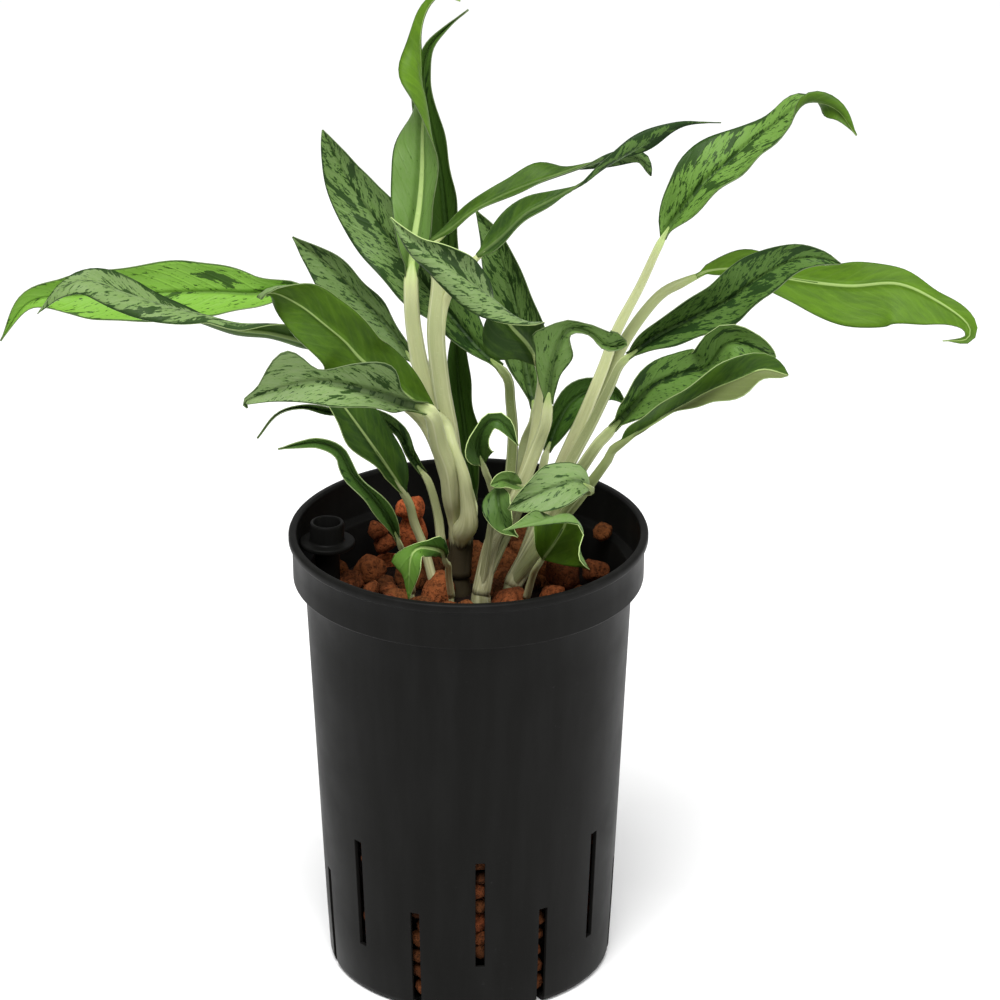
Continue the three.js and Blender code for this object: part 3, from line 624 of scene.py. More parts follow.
def stalkRoute(leaf):
    # from inside the cane to just inside the blade
    x, y, _ = shoots[leaf["shoot"]]
    rib = [Vector(point) for point in leaf["rib"]]
    heading = evenly(rib, 8)[0][0][1]
    start = Vector((x, y, stalks["footTop"] - 6))
    points = [Vector(point) for point in leaf["stalk"]]
    under = leaf["under"]
    reach = min(stalks["underBlade" if under else "intoBlade"], (rib[1] - rib[0]).length * 0.9)
    stops = evenly(rib, 40)[0]
    onward = next(place for place, _ in stops if (place - rib[0]).length >= reach)
    lower = heading.cross(blade["face"]).normalized().cross(heading) * (1 if under else -1)
    sunk = lower * leaf["girth"][1]
    approach = (heading + (rib[0] - points[-1]).normalized()).normalized()
    before = rib[0] - approach * stalks["turnLength"]
    return [start, *points, before + sunk * 0.1, onward + sunk * (0.55 if under else 0.95)], heading


def turned(first, second, angle):
    return first * math.cos(angle) + second * math.sin(angle)


def carryDown(stops, upper):
    # the groove's side at every stop, carried down from the last one
    uppers = [upper]
    for _, way in reversed(stops[:-1]):
        uppers.insert(0, (uppers[0] - way * uppers[0].dot(way)).normalized())
    return uppers


def addStalk(bm, leaf, seed):
    route, heading = stalkRoute(leaf)
    length = sum((b - a).length for a, b in zip(route, route[1:]))
    steps = max(10, round(length / stalks["cellLength"]))
    stops, length = evenly(route, steps)
    upper = heading.cross(blade["face"]).normalized().cross(heading)
    uppers = carryDown(stops, -upper if leaf["under"] else upper)
    around = stalks["cellsRound"]
    thick, thin = leaf["girth"]
    onward = stalks["underBlade" if leaf["under"] else "intoBlade"]
    enters = 1 - (onward + 4) / length  # from here on it thins out under the blade
    dryAndShadeTop, drynessAndShade = stalks["dry"].get(leaf["shoot"], (0, 0))

    def place(i, j):
        s = j / steps
        centre, way = stops[j]
        side = way.cross(uppers[j])
        turn = i / around * math.tau
        radius = along(leaf["girths"], s) if "girths" in leaf else thick + (thin - thick) * s**0.8
        radius *= 1 - 0.75 * max(0.0, (s - enters) / (1 - enters)) ** 1.2
        away = abs((turn + math.pi) % math.tau - math.pi)  # from the groove
        groove = stalks["groove"] * min(1, s * 5)
        shape = 1 - groove * math.exp(-((away / 0.5) ** 2))
        shape += 0.10 * math.exp(-(((away - 0.85) / 0.25) ** 2))
        shape *= 1 + 0.04 * noise.noise(Vector((s * 9, seed, 0)))
        return centre + turned(uppers[j], side, turn) * radius * shape

    def marks(i, j):
        # painted shade on the left shoot's stalks low down, dry skin on the centre shoot's
        dry = min(max((dryAndShadeTop - stops[j][0].z) / 3, 0), drynessAndShade)
        skin = (seed * 3.7, leaf["stalkGreen"], dry)
        return {"stalk": (j / steps, i / around, length * j / steps), "skin": skin}

    addSheet(bm, around, steps, place, marks)


def addSheath(bm, route, radius, share, skin):
    # a thin tube around a stalk up to a share of its route, torn open at the top
    around, steps, inward, fine = stalks["cellsRound"], 44, 4, 80
    stops, length = evenly(route, fine)
    uppers = carryDown(stops, Vector((0, -1, 0)))

    def place(i, j):
        turn = i / around * math.tau
        high = min(j / steps, 1)
        torn = noise.noise(Vector((math.cos(turn) * 1.6, math.sin(turn) * 1.6, skin[0])))
        s = (share + stalks["torn"] * torn / length) * high - 0.02 * max(0, j - steps)
        at = min(max(s, 0), 1) * fine
        k = min(int(at), fine - 1)
        centre = stops[k][0].lerp(stops[k + 1][0], at - k)
        size = radius * (0.88 + 0.12 * high + 0.12 * high**12) - (0.5 if j > steps else 0)
        return centre + turned(uppers[k], stops[k][1].cross(uppers[k]), turn) * size

    def marks(i, j):
        high = min(j / steps, 1)
        return {"stalk": (share * high, i / around, length * share * high), "skin": skin}

    addSheet(bm, around, steps + inward, place, marks)


def addCane(bm, name, seed):
    # the short upright cane with its leaf scars, slightly swollen where it meets the clay
    x, y, radius = shoots[name]
    low, high = stalks["footBottom"], stalks["footTop"]
    steps, around = 26, 32
    skin = (seed * 2.3, *stalks["canes"].get(name, (0.3, 0.15)))

    def place(i, j):
        s = j / steps
        turn = i / around * math.tau
        size = radius * (1 - stalks["caneTaper"] * s)
        ring = 0.02 * max(0, math.sin(s * stalks["scars"] * math.tau)) ** 6
        swell = 0.05 * noise.noise(Vector((math.cos(turn), math.sin(turn), s * 3 + seed)))
        close = min(1.0, (1 - s) * 4) ** 0.5
        size *= (1 + ring + swell) * close
        return Vector((x + size * math.cos(turn), y + size * math.sin(turn), low + (high - low) * s))

    def marks(i, j):
        return {"stalk": (0.05, i / around, j), "skin": skin}

    addSheet(bm, around, steps, place, marks)


def makeShoots(material):
    for number, name in enumerate(shoots):
        bm = bmesh.new()
        for layer in ("stalk", "skin"):
            bm.verts.layers.float_vector.new(layer)
        addCane(bm, name, number)
        mine = [leaf for leaf in leaves.values() if leaf["shoot"] == name]
        for k, leaf in enumerate(mine):
            addStalk(bm, leaf, number * 10 + k)
            if "sheath" in leaf:
                share, radius = leaf["sheath"]
                addSheath(bm, stalkRoute(leaf)[0], radius, share, (k * 1.9, 0.25, 0.0))
        bmesh.ops.remove_doubles(bm, verts=bm.verts, dist=mm(0.02))
        bmesh.ops.holes_fill(bm, edges=bm.edges, sides=64)
        bmesh.ops.recalc_face_normals(bm, faces=bm.faces)
        finishPiece(bm, "shoot" + name.capitalize(), [material], ["shoot_" + name])
    print("shoots:", len(shoots))


# leaves
blade = {
    "face": Vector((0, -0.91, 0.41)).normalized(),  # the side that 0 degrees turns the upper face to
    "thick": 0.4,
    "across": 28,
    "cellLength": 2.4,
    "rib": 0.9,  # how far the midrib stands out below, against the stalk's radius at the blade
    "wave": 0.9,  # how far the margin waves
    "waveLength": 30,
    "veinSlant": 1.6,  # how steeply the side veins run towards the tip
    "veinBend": 0.03,
    "veinsPerLength": 0.12,
    "patterns": {  # noise: how fine across and along the veins, detail and roughness
        "streak": (0.23, 0.40, 4, 0.68), "blotch": (0.075, 0.15, 2, 0.5), "fine": (0.60, 0.90, 3, 0.6),
    },
    "markPatterns": {"streak": 0.50, "blotch": 0.72, "fine": 0.14},  # their weights in the dark marks
    "markFrom": (0.765, 0.785),  # where a mark begins and where it is full
    "speckFrom": (0.665, 0.7),
    "markStrength": 0.92,
    "dark": (0.008, 0.026, 0.005),
    "green": (0.034, 0.082, 0.011),
    "bright": (0.133, 0.310, 0.015),
    "silver": (0.098, 0.150, 0.054),
    "silverBright": (0.290, 0.381, 0.181),
    "belowDark": (0.020, 0.050, 0.007),
    "belowBright": (0.110, 0.225, 0.008),
    "olive": (0.135, 0.160, 0.058),
    "paleLine": (0.42, 0.55, 0.20),
    "darkEdge": (0.036, 0.066, 0.014),
    "gloss": 0.12,
}
# Each leaf as in the frame. half is the half width, tip says how pointed the blade is and belly where it
# is widest. girth is its stalk's radius at the clay and at the blade, and girths are radii along it. rib
# runs from stalk to tip, and right and left say how far the halves are turned up along it, in degrees.
# rightWide and leftWide are shares of the half width. stalk is the way of the stalk, and sheath the share
# of it that a sheath covers, and its radius. Where under is true the underside faces the front. tint gives
# how silver, how light and how full of marks the upper side is, and below and olive colour the lower
# side. The lightness that tint and below give is the leaf's own tone together with painted light and
# shade. lit is painted shade that dims both along the blade, and paleEdge, paleRib and ribBelow lighten
# the lines.
usualLeaf = {
    "tip": 1, "belly": 0.8, "under": False, "rightWide": (1, 1), "leftWide": (1, 1), "lit": (1, 1),
    "below": 0.3, "olive": 0, "paleEdge": 0.12, "paleRib": 0, "ribBelow": 0.5, "stalkGreen": 0.2,
}
leaves = {
    "left_far": dict(shoot="left", half=14, girth=(2.6, 1.3),
        rib=[(-61, 34, 278), (-71, 38, 282), (-87, 42, 278), (-103, 46, 277), (-122, 50, 275),
            (-142, 52, 273), (-163, 54, 272), (-180, 54, 269), (-192, 52, 253)],
        right=[40, 25, 30, 40, 45], left=[50, 45, 35, 35, 60],
        rightWide=[0.5, 0.6, 0.9, 1, 1, 1, 1, 0.9, 0.8], leftWide=[0.5, 0.8, 1, 1, 1, 1, 0.9, 0.6, 0.6],
        stalk=[(-4, 18, 188), (-10, 23, 210), (-20, 31, 231), (-36, 35, 250), (-50, 36, 266)],
        tint=(0.2, 1, 0.38), below=0.7, paleEdge=0.2),
    "left_twisted": dict(shoot="left", half=12.5, tip=0.8, girth=(2.6, 1.4), under=True,
        rib=[(-53, 10, 266), (-64, 0, 274), (-78, -5, 280), (-92, -8, 283), (-106, -10, 288),
            (-119, -14, 294), (-135, -16, 301), (-149, -18, 307), (-160, -20, 304), (-169, -20, 294)],
        right=[20, 75, 105, 140, 120], left=[-50, -80, -105, -130, -100],
        stalk=[(-5, 13, 190), (-10, 15, 211), (-18, 18, 230), (-30, 18, 242), (-43, 15, 254)],
        tint=(0.8, 0.39, 0.55), below=0.2, paleEdge=0.5, ribBelow=0.3),
    "left_broad": dict(shoot="left", half=14, tip=0.7, girth=(4.6, 2.1), under=True,
        rib=[(-13, 14, 237), (-22, 8, 245), (-32, 3, 256), (-42, 0, 266), (-49, -2.5, 275.3),
            (-57, -6, 284), (-66, -9, 293), (-76, -10, 299), (-83, -10, 297.3)],
        right=[20, 5, 20, 30, 20, 125], left=[-55, -25, -20, 20, 5, -125],
        rightWide=[1, 1, 0.95, 0.92, 0.92, 0.95, 1, 1.3, 2.2], leftWide=[1, 1, 1, 1, 1, 1, 1, 1, 1.8],
        stalk=[(-3, 11, 183), (0, 5, 193), (-0.5, 3.5, 204), (-2, 3, 215), (-6, 5, 226)],
        girths=[1.4, 1.6, 4.6, 3.3, 2.6, 2.3, 2.2, 2.1, 2.1], tint=(0.9, 0.43, 0.4), below=0.36,
        paleEdge=0.3, stalkGreen=0.15),
    "left_front": dict(shoot="left", half=13.5, tip=0.8, girth=(3.4, 3),
        rib=[(-17, -14, 251), (-26, -22, 257), (-36, -30, 264), (-48, -36, 270), (-59, -40, 273.5),
            (-71, -43, 272.5), (-81, -44, 269.5), (-87, -43, 266), (-86, -42, 263)],
        right=[50, 60, 40, 50, 35], left=[60, 50, 50, 20, 15],
        rightWide=[0.6, 0.55, 0.75, 1.45, 0.9, 0.45, 1.85, 0.6, 0.3],
        leftWide=[0.7, 0.5, 0.7, 0.8, 0.9, 0.9, 0.65, 0.5, 0.5],
        stalk=[(-6, 12, 189), (-7, 7, 203), (-8.5, 3, 218), (-12, -2, 231)],
        girths=[1.4, 1.6, 2.4, 3.6, 3.6, 3.5, 3.4, 3.1, 3], tint=(0.95, 0.44, 0.5), below=0.35,
        paleEdge=0.15, stalkGreen=0.05),
    "left_back": dict(shoot="left", half=13, girth=(2.6, 1.5),
        rib=[(-23, 44, 248), (-33, 52, 259), (-45, 58, 270), (-57, 62, 282), (-66, 64, 289),
            (-72, 64, 294)],
        right=[60, 60, 60, 55], left=[0, 10, 15, 10], rightWide=[1, 0.75, 0.7, 0.8, 0.9, 1, 1, 1, 1],
        stalk=[(-4, 20, 187), (-10, 29, 214), (-17, 38, 233)], tint=(0.7, 0.29, 0.55), below=0.35),
    "left_thin": dict(shoot="left", half=7, tip=1.1, girth=(2.4, 1.5),
        rib=[(-18, 12, 211), (-24, 11, 220), (-29, 9, 231), (-40, 6, 240), (-54, 1, 243), (-66, -8, 249),
            (-76, -13, 248), (-84, -14, 238)],
        right=[35, 60, 65, 60], left=[40, 55, 50, 50], rightWide=[1, 1, 1, 0.8, 0.6, 0.5, 0.4, 0.35, 0.3],
        leftWide=[1, 0.4, 0.2, 0.2, 0.3, 0.3, 0.3, 0.3, 0.4], stalk=[(-10.5, 12, 178), (-12.5, 13, 192)],
        tint=(0.3, 0.07, 0.7), below=0.15, stalkGreen=0.25),
    "left_low": dict(shoot="low", half=11.5, girth=(2, 1.7), under=True,
        rib=[(-26, 0, 208), (-31, -4, 218), (-37, -9, 230), (-44, -13, 243), (-50, -15, 253),
            (-56, -15, 261), (-61, -14, 266)],
        right=[25, -25, -25, 0], left=[60, 60, 50, 35], leftWide=[1, 0.5, 0.55, 0.7, 0.9, 1.1, 1, 1, 1],
        stalk=[(-18, 5, 181), (-22, 4, 193)], tint=(0.6, 0.29, 0.5), below=0.06, paleEdge=0.5,
        stalkGreen=0.25),
    "left_narrow": dict(shoot="narrow", half=6, girth=(1.5, 1.2),
        rib=[(-28, -26, 199), (-31, -30, 209), (-37, -36, 222), (-45, -41, 234), (-50, -45, 246),
            (-58, -48, 251), (-66, -50, 251), (-74, -50, 249)],
        right=[20, 60, 60, 60], left=[50, 50, 50, 30], rightWide=[1, 1, 1, 0.9, 0.6, 0.6, 0.9, 1, 1],
        stalk=[(-24, -12, 180)], tint=(0.1, 0, 0.2), below=0.04, paleEdge=0.3, stalkGreen=0.5),
    "young_front": dict(shoot="front", half=5.5, tip=1.1, girth=(1.5, 1.2),
        rib=[(-9.6, -30, 192.4), (-10.7, -34, 197.4), (-14.6, -39, 201.2), (-19.3, -43, 203.2),
            (-22.4, -46, 201.1), (-23.3, -47, 192.4), (-23.4, -46, 181)],
        right=[20, 20, 10, -10, -30, -35], left=[-10, 5, 20, 30, 30, 25],
        rightWide=[1, 0.9, 1.2, 0.55, 0.5, 1.65, 0.85, 0.7, 0.6],
        leftWide=[1, 0.8, 0.6, 0.7, 0.8, 1.2, 1.15, 0.9, 0.6], stalk=[(-8, -14, 178), (-8, -22, 186)],
        tint=(0.2, 0.43, 0), below=0.2, paleEdge=1, paleRib=0.9, lit=[0, 0, 0, 0.7, 1, 1, 1]),
    "tall": dict(shoot="left", half=12.5, tip=1.3, girth=(5, 2.9),
        rib=[(-23, 30, 290), (-22, 34, 304), (-20, 40, 317), (-19, 45, 330), (-19, 50, 343),
            (-19, 54, 355), (-20, 57, 368), (-20, 59, 382), (-17, 60, 393), (-11, 60, 399),
            (-3, 58, 397)],
        right=[10, 50, 65, 110, 200, 185], left=[50, 10, -20, -95, -140, -155],
        rightWide=[1, 1, 1, 1, 1.3, 1.45, 0.65, 0.7, 0.8],
        leftWide=[1, 1, 1, 0.95, 0.9, 0.5, 0.3, 0.4, 0.8],
        stalk=[(-3, 18, 188), (-10, 24, 221), (-18, 27, 246), (-22, 29, 267)], tint=(0.45, 0.36, 0.1),
        below=0.5, paleRib=0.9, stalkGreen=0),
    "tall_back": dict(shoot="left", half=11, tip=1.5, girth=(2.6, 1.6),
        rib=[(-9, 60, 272), (-9, 64, 288), (-10, 68, 304), (-12, 72, 322), (-16, 75, 341), (-18, 77, 357),
            (-16, 78, 370), (-9, 78, 379), (0, 77, 387)],
        right=[35, 60, 60, 60, 35], left=[0, 40, 35, 45, 60],
        rightWide=[1, 1, 0.95, 0.9, 0.9, 1, 1, 1, 1],
        stalk=[(-5, 24, 186), (-13, 34, 213), (-15, 46, 239), (-13, 55, 257)], tint=(0.1, 0.11, 0.2),
        below=0.25),
    "upper_ribbon": dict(shoot="left", half=8.5, tip=0.6, girth=(5, 1.6), under=True, sheath=(0.86, 3.8),
        rib=[(-15, 28, 306), (-7, 28, 311), (2, 29, 318), (13, 30, 324), (25, 31, 329), (37, 32, 333),
            (49, 33, 337), (61, 33, 340), (69, 32, 340), (73, 30, 333)],
        right=[35, 60, 60, 60, 90, 135, 150], left=[20, 10, 0, -20, -90, -135, -150],
        rightWide=[1, 0.5, 0.3, 0.25, 0.25, 0.3, 0.5, 0.6, 0.8],
        leftWide=[1, 0.85, 0.75, 0.75, 0.95, 0.9, 0.8, 0.6, 0.5],
        stalk=[(-4, 16, 189), (-7, 18, 223), (-11, 20, 247), (-13, 22, 270), (-11, 25, 293)],
        tint=(0.55, 0.14, 0.7), below=0.2, ribBelow=0.1, stalkGreen=0),
    "back_dark": dict(shoot="left", half=9, tip=0.8, girth=(2.6, 1.6),
        rib=[(2, 36, 188), (0, 39, 204), (-2, 42, 221), (-4, 45, 237), (-5, 47, 252), (-5, 48, 262)],
        right=[45, 50, 55, 25], left=[60, 55, 50, 50], stalk=[(-1, 26, 176)], tint=(0.05, 0.04, 0.1),
        below=0.1),
    "back_mottled": dict(shoot="centre", half=14, tip=0.8, girth=(3, 1.9),
        rib=[(13, 24, 253), (4, 30, 259), (-5, 38, 267), (-18, 46, 280), (-30, 52, 295), (-39, 56, 306),
            (-48, 60, 318), (-54, 62, 330), (-59, 62, 341)],
        right=[10, 25, 40, 35, 50], left=[50, 45, 25, -5, 10],
        stalk=[(10, 6, 184), (16, 14, 203), (18, 19, 223), (17, 22, 239)], tint=(0.6, 0.32, 0.65),
        stalkGreen=0.9, lit=[0.3, 0.6, 0.9, 1, 1, 1]),
    "back_right": dict(shoot="centre", half=13.5, girth=(3.4, 2),
        rib=[(27, 34, 231), (25, 40, 238), (23, 45, 247), (21, 51, 258), (18, 57, 271), (14, 61, 282),
            (10, 65, 293), (3, 68, 304)],
        right=[25, 40, 60, 45], left=[55, 45, 35, 15], stalk=[(11, 8, 183), (19, 20, 200), (23, 31, 216)],
        tint=(0.5, 0.25, 0.6), stalkGreen=0.5),
    "centre_arched": dict(shoot="centre", half=10.5, tip=1.1, girth=(3.6, 2), under=True,
        rib=[(29, 14, 258), (24, 6, 270), (18, -2, 281), (11, -8, 294), (1, -12, 304), (-10, -15, 314),
            (-20, -16, 321), (-30, -14, 332)],
        right=[30, 25, 145, 190, 190], left=[10, -10, -130, -190, -215],
        rightWide=[1, 0.5, 1.3, 1.1, 1, 1, 1, 1, 1], leftWide=[1, 1.15, 1.6, 0.8, 0.95, 1, 1, 1, 1],
        stalk=[(10, 2, 186), (19, 8, 201), (26, 13, 221), (29, 15, 241)], tint=(0.9, 0.36, 0.6),
        below=0.06, paleEdge=0.8, stalkGreen=0),
    "centre_bright": dict(shoot="centre", half=10, tip=0.4, girth=(3.8, 2.2),
        rib=[(32, 0, 247), (33, -3, 259), (35, -7, 272), (40, -10, 283), (48, -13, 283), (55, -15, 278),
            (63, -15, 279)],
        right=[20, 30, 55, 60], left=[5, -5, 50, 55],
        rightWide=[1, 0.75, 0.65, 0.85, 0.9, 0.5, 0.25, 0.4, 0.6],
        leftWide=[1, 1, 1, 1, 1.25, 0.55, 0.6, 1.3, 1.6],
        stalk=[(10, 0, 187), (19, 4, 203), (27, 5, 224), (31, 2, 237)], tint=(0.55, 0.43, 0.4),
        stalkGreen=0.05),
    "lower_ribbon": dict(shoot="left", half=11, tip=1.3, girth=(2.6, 1.4), under=True,
        rib=[(4, 8, 307), (13, 10, 314), (23, 13, 323), (33, 15, 328), (45, 17, 334), (54, 18, 341),
            (68, 19, 349), (84, 19, 358.5), (100, 17, 360)],
        right=[45, 50, 60, 95, 140, 140, 130], left=[-5, 20, -10, -85, -130, -130, -120],
        rightWide=[1, 0.5, 0.36, 0.1, 0.35, 0.75, 0.95, 0.55, 0.35],
        leftWide=[1, 0.9, 0.62, 0.25, 0.2, 0.2, 0.6, 0.5, 0.4],
        stalk=[(-4, 16, 189), (-7, 18, 223), (-10, 20, 247), (-11, 21, 270), (-8, 20, 286)],
        tint=(0.3, 0.11, 0.7), below=0.07, ribBelow=0.1, stalkGreen=0),
    "young_curly": dict(shoot="centre", half=5.5, tip=1.1, girth=(1.8, 1.3),
        rib=[(6, -8, 224), (4, -12, 233), (5, -16, 241), (8, -19, 247), (12, -21, 249), (16, -21, 245),
            (20, -19, 237)],
        right=[5, 30, 35, 40], left=[50, 55, 40, 45], rightWide=[1.2, 1.5, 1.5, 1.1, 0.9, 1, 1, 1, 1],
        leftWide=[1.2, 1.7, 1.7, 1.3, 0.7, 0.8, 1.1, 1, 1], stalk=[(12, 0, 195), (9, -2, 212)],
        tint=(0.1, 0, 0), below=0.08, paleEdge=1, stalkGreen=0.3),
    "young_small": dict(shoot="centre", half=4.5, tip=0.7, girth=(1.8, 1.1),
        rib=[(22, -6, 214), (18, -11, 217), (14, -15, 220), (9, -17, 219)],
        right=[0, 10, 40], left=[40, 60, 15], stalk=[(14, -2, 185), (22, -1, 203)], tint=(0.4, 0.36, 0.1),
        below=0.4, paleEdge=1, stalkGreen=0.5),
    "young_centre": dict(shoot="centre", half=7, tip=1.2, girth=(1.8, 1.1),
        rib=[(12, -13, 217), (12, -17, 212), (13, -19, 208), (15, -20, 202), (20, -21, 198)],
        right=[-40, 20, 60], left=[10, 55, 35], stalk=[(9, -8, 196), (11, -9, 212)],
        tint=(0.35, 0.11, 0.3), below=0.4, paleEdge=1, stalkGreen=0.5),
    "right_high": dict(shoot="right", half=15.5, tip=1.2, girth=(4, 1.5),
        rib=[(78, 26, 308), (81, 28, 313), (88, 30, 322), (95, 33, 330), (104, 36, 337), (113, 38, 345),
            (121, 38, 351), (130, 36, 360), (138, 32, 364), (147, 27, 362), (154, 22, 353)],
        right=[60, 60, 62, 64, 62, 58, 52, 55, 140, 150, 160],
        left=[-5, 20, 25, 0, -20, -30, -30, -45, -125, -150, -160],
        rightWide=[0.8, 0.95, 1.1, 1.05, 1, 0.65, 0.65, 0.75, 1],
        leftWide=[1, 1.05, 0.95, 0.85, 0.5, 0.45, 0.8, 1.2, 1],
        stalk=[(29, 8, 188), (37, 13, 212), (46, 17, 233), (54, 20, 253), (60, 22, 270), (69, 24, 288)],
        tint=(0.3, 0.54, 0.6)),
    "right_far": dict(shoot="right", half=15, belly=0.9, girth=(4, 1.9), under=True,
        rib=[(92, 39, 286.5), (98, 41, 288.2), (112, 43, 288), (131, 45, 283), (154, 45, 280),
            (174, 42, 282), (190, 38, 276), (202, 34, 268), (202, 32, 262), (192, 30, 262)],
        right=[40, 20, 10, 20, 50], left=[40, 20, 5, -20, 40],
        rightWide=[0.8, 0.5, 0.6, 0.92, 1.15, 1.3, 1.15, 0.6, 0.4],
        leftWide=[1.2, 1.1, 0.6, 0.5, 0.66, 0.5, 0.4, 0.6, 0.3],
        stalk=[(30, 9, 187), (37, 15, 211), (47, 20, 229), (56, 25, 248), (65, 30, 265), (77, 36, 279)],
        tint=(0.3, 0.57, 0.3), below=0.52, stalkGreen=0.5),
    "right_mottled": dict(shoot="right", half=11.5, tip=0.9, girth=(3.5, 1.6),
        rib=[(64, 4, 266), (75, 0, 276), (88, -4, 285), (102, -8, 294), (115, -12, 306), (128, -16, 315),
            (138, -19, 317), (146, -20, 315)],
        right=[60, 40, 40, 30], left=[35, 55, 15, 35],
        stalk=[(30, 6, 189), (40, 10, 214), (50, 9, 235), (57, 6, 252)], tint=(0.28, 0.14, 0.65),
        stalkGreen=0.6),
    "right_curled": dict(shoot="right", half=11.5, tip=0.6, girth=(3.2, 2.2),
        rib=[(58, -8, 240), (65, -12, 250), (74, -17, 262), (86, -21, 269), (95, -24, 273),
            (102, -27, 284), (111, -29, 284), (121, -29, 279)],
        right=[60, 25, 25, 55, -40], left=[50, 45, 10, 40, 60],
        rightWide=[0.9, 1, 1, 0.95, 0.9, 1.1, 1.3, 1, 1], leftWide=[0.8, 1, 1, 0.9, 0.8, 0.85, 1, 1, 1],
        stalk=[(31, 2, 191), (41, -2, 212), (51, -7, 231)], tint=(0.3, 0.29, 0.5), paleEdge=0.4,
        stalkGreen=0.6),
    "right_under": dict(shoot="right", half=9, tip=0.6, girth=(3, 1.6), under=True,
        rib=[(61, -18, 238), (71, -26, 248), (82, -34, 259), (94, -40, 269), (105, -44, 276),
            (115, -46, 281), (125, -47, 279)],
        right=[50, 60, 55, 35], left=[35, 55, 55, 0],
        rightWide=[0.8, 0.4, 0.15, 0.2, 0.45, 0.9, 1.4, 0.9, 0.8],
        leftWide=[1.3, 1.3, 1.1, 1, 1.1, 1.3, 1.4, 1.2, 1],
        stalk=[(31, 0, 189), (41, -7, 204), (50, -12, 219), (56, -16, 230)], tint=(0.4, 0.29, 0.5),
        below=0.12, olive=0.8, paleEdge=0.4, stalkGreen=0.8),
    "right_back": dict(shoot="right", half=9.5, tip=1.1, girth=(2.4, 1.6),
        rib=[(32, 28, 214), (36, 34, 223), (42, 40, 231), (51, 44, 235), (59, 46, 233), (65, 46, 227)],
        right=[50, 40, 25], left=[45, 55, 60], stalk=[(27, 14, 190)], tint=(0.02, 0.02, 0.4), below=0.15,
        stalkGreen=0.3),
    "young_silver": dict(shoot="right", half=9.5, tip=0.9, girth=(2.2, 1.4),
        rib=[(49, -21, 220), (43, -26, 225), (35, -30, 224), (26, -33, 221), (16, -34, 216)],
        right=[-30, -15, 35, 50], left=[35, 35, 25, 40],
        stalk=[(30, -6, 186), (38, -11, 203), (45, -15, 214)], tint=(0.9, 0.39, 0.4), below=0.2,
        paleEdge=0.5, stalkGreen=0.8),
    "young_pale": dict(shoot="pale", half=12.5, tip=1.5, girth=(1.6, 1.2), under=True,
        rib=[(30, -28, 192), (35, -31, 201), (39, -36, 211), (37, -42, 217), (27, -48, 217),
            (14, -52, 215)],
        right=[10, 25, 90, 170, 155], left=[60, 45, -50, -145, -145],
        rightWide=[1.2, 1.4, 1.6, 1.4, 1, 0.5, 0.35, 0.35, 0.5], stalk=[(26, -17, 179)],
        tint=(0.6, 0.32, 0.1), below=0.42, paleEdge=1, stalkGreen=0.3),
}
leaves = {name: {**usualLeaf, **leaf} for name, leaf in leaves.items()}


def leafSides(tree):
    # what both sides of a blade share: veins, distance from the midrib, and noise that runs with the veins
    v, s, seed = stored(tree, "place")
    x, y, _ = stored(tree, "size")
    fromRib = maths("ABSOLUTE", x)
    bend = times(times(fromRib, fromRib), blade["veinBend"])
    vein = minus(y, plus(times(fromRib, blade["veinSlant"]), bend))
    offset = plus(times(maths("SIGN", x), 3.1), times(seed, 5.3))

    def pattern(acrossVeins, alongVeins, detail, roughness):
        place = triple(times(vein, acrossVeins), times(fromRib, alongVeins), offset)
        return cloud(place, 1.0, detail, roughness)

    pitch = maths("FRACT", times(vein, blade["veinsPerLength"]))
    ribWidth = minus(0.95, times(s, 0.75))
    return {
        "s": s,
        "share": maths("ABSOLUTE", v),
        **{name: pattern(*values) for name, values in blade["patterns"].items()},
        "line": span(maths("ABSOLUTE", minus(pitch, 0.5)), 0.34, 0.5),
        "rib": span(maths("DIVIDE", fromRib, ribWidth), 1.2, 0.6),
    }


def finishBlade(shader, side, colour, veins):
    paint(shader, colour)
    glow(shader, 0.1, (0.7, 1.0, 0.25), 0.4)
    relief(shader, plus(times(side["line"], veins), times(side["fine"], 0.5)), 0.22, 0.6)


def upperMaterial():
    material, shader = newMaterial("leafUpperSide", 0.48, blade["gloss"])
    tree = material.node_tree
    side = leafSides(tree)
    silver, light, marks = stored(tree, "tint")
    ribPale = stored(tree, "lines")[0]
    nearRib = span(side["share"], 0.22, 0.02, 0.0, 0.05)
    nearEdge = span(side["share"], 0.78, 1.0, 0.0, 0.12)
    value = plus(nearRib, nearEdge)
    for pattern, weight in blade["markPatterns"].items():
        value = plus(value, times(side[pattern], weight))
    value = plus(value, times(minus(marks, 0.5), 0.26))
    speck = plus(times(side["fine"], 0.7), times(side["streak"], 0.5))
    speck = plus(speck, times(minus(marks, 0.5), 0.2))
    mark = maths("MAXIMUM", span(value, *blade["markFrom"]), span(speck, *blade["speckFrom"]))
    # light picks between the darker and the lighter colour: the leaf's own tone together with painted
    # light and shade
    plain = blend(light, blade["green"], blade["bright"])
    grey = blend(light, blade["silver"], blade["silverBright"])
    field = blend(times(silver, span(side["fine"], 0.25, 0.7, 0.75, 1.15)), plain, grey)
    field = blend(span(plus(side["fine"], side["streak"]), 0.80, 1.3, 0.0, 0.5), field, plain)
    dark = blend(times(light, 0.56), blade["dark"], blade["green"])
    colour = blend(times(mark, blade["markStrength"]), field, dark)
    colour = blend(span(side["share"], 0.93, 0.97, 0.0, 0.8), colour, dark)
    ribShare = times(times(plus(1.0, ribPale), side["rib"]), span(side["s"], 0.0, 0.9, 0.5, 0.1))
    colour = blend(ribShare, colour, blend(ribPale, dark, blade["paleLine"]))
    finishBlade(shader, side, colour, 0.8)
    return material


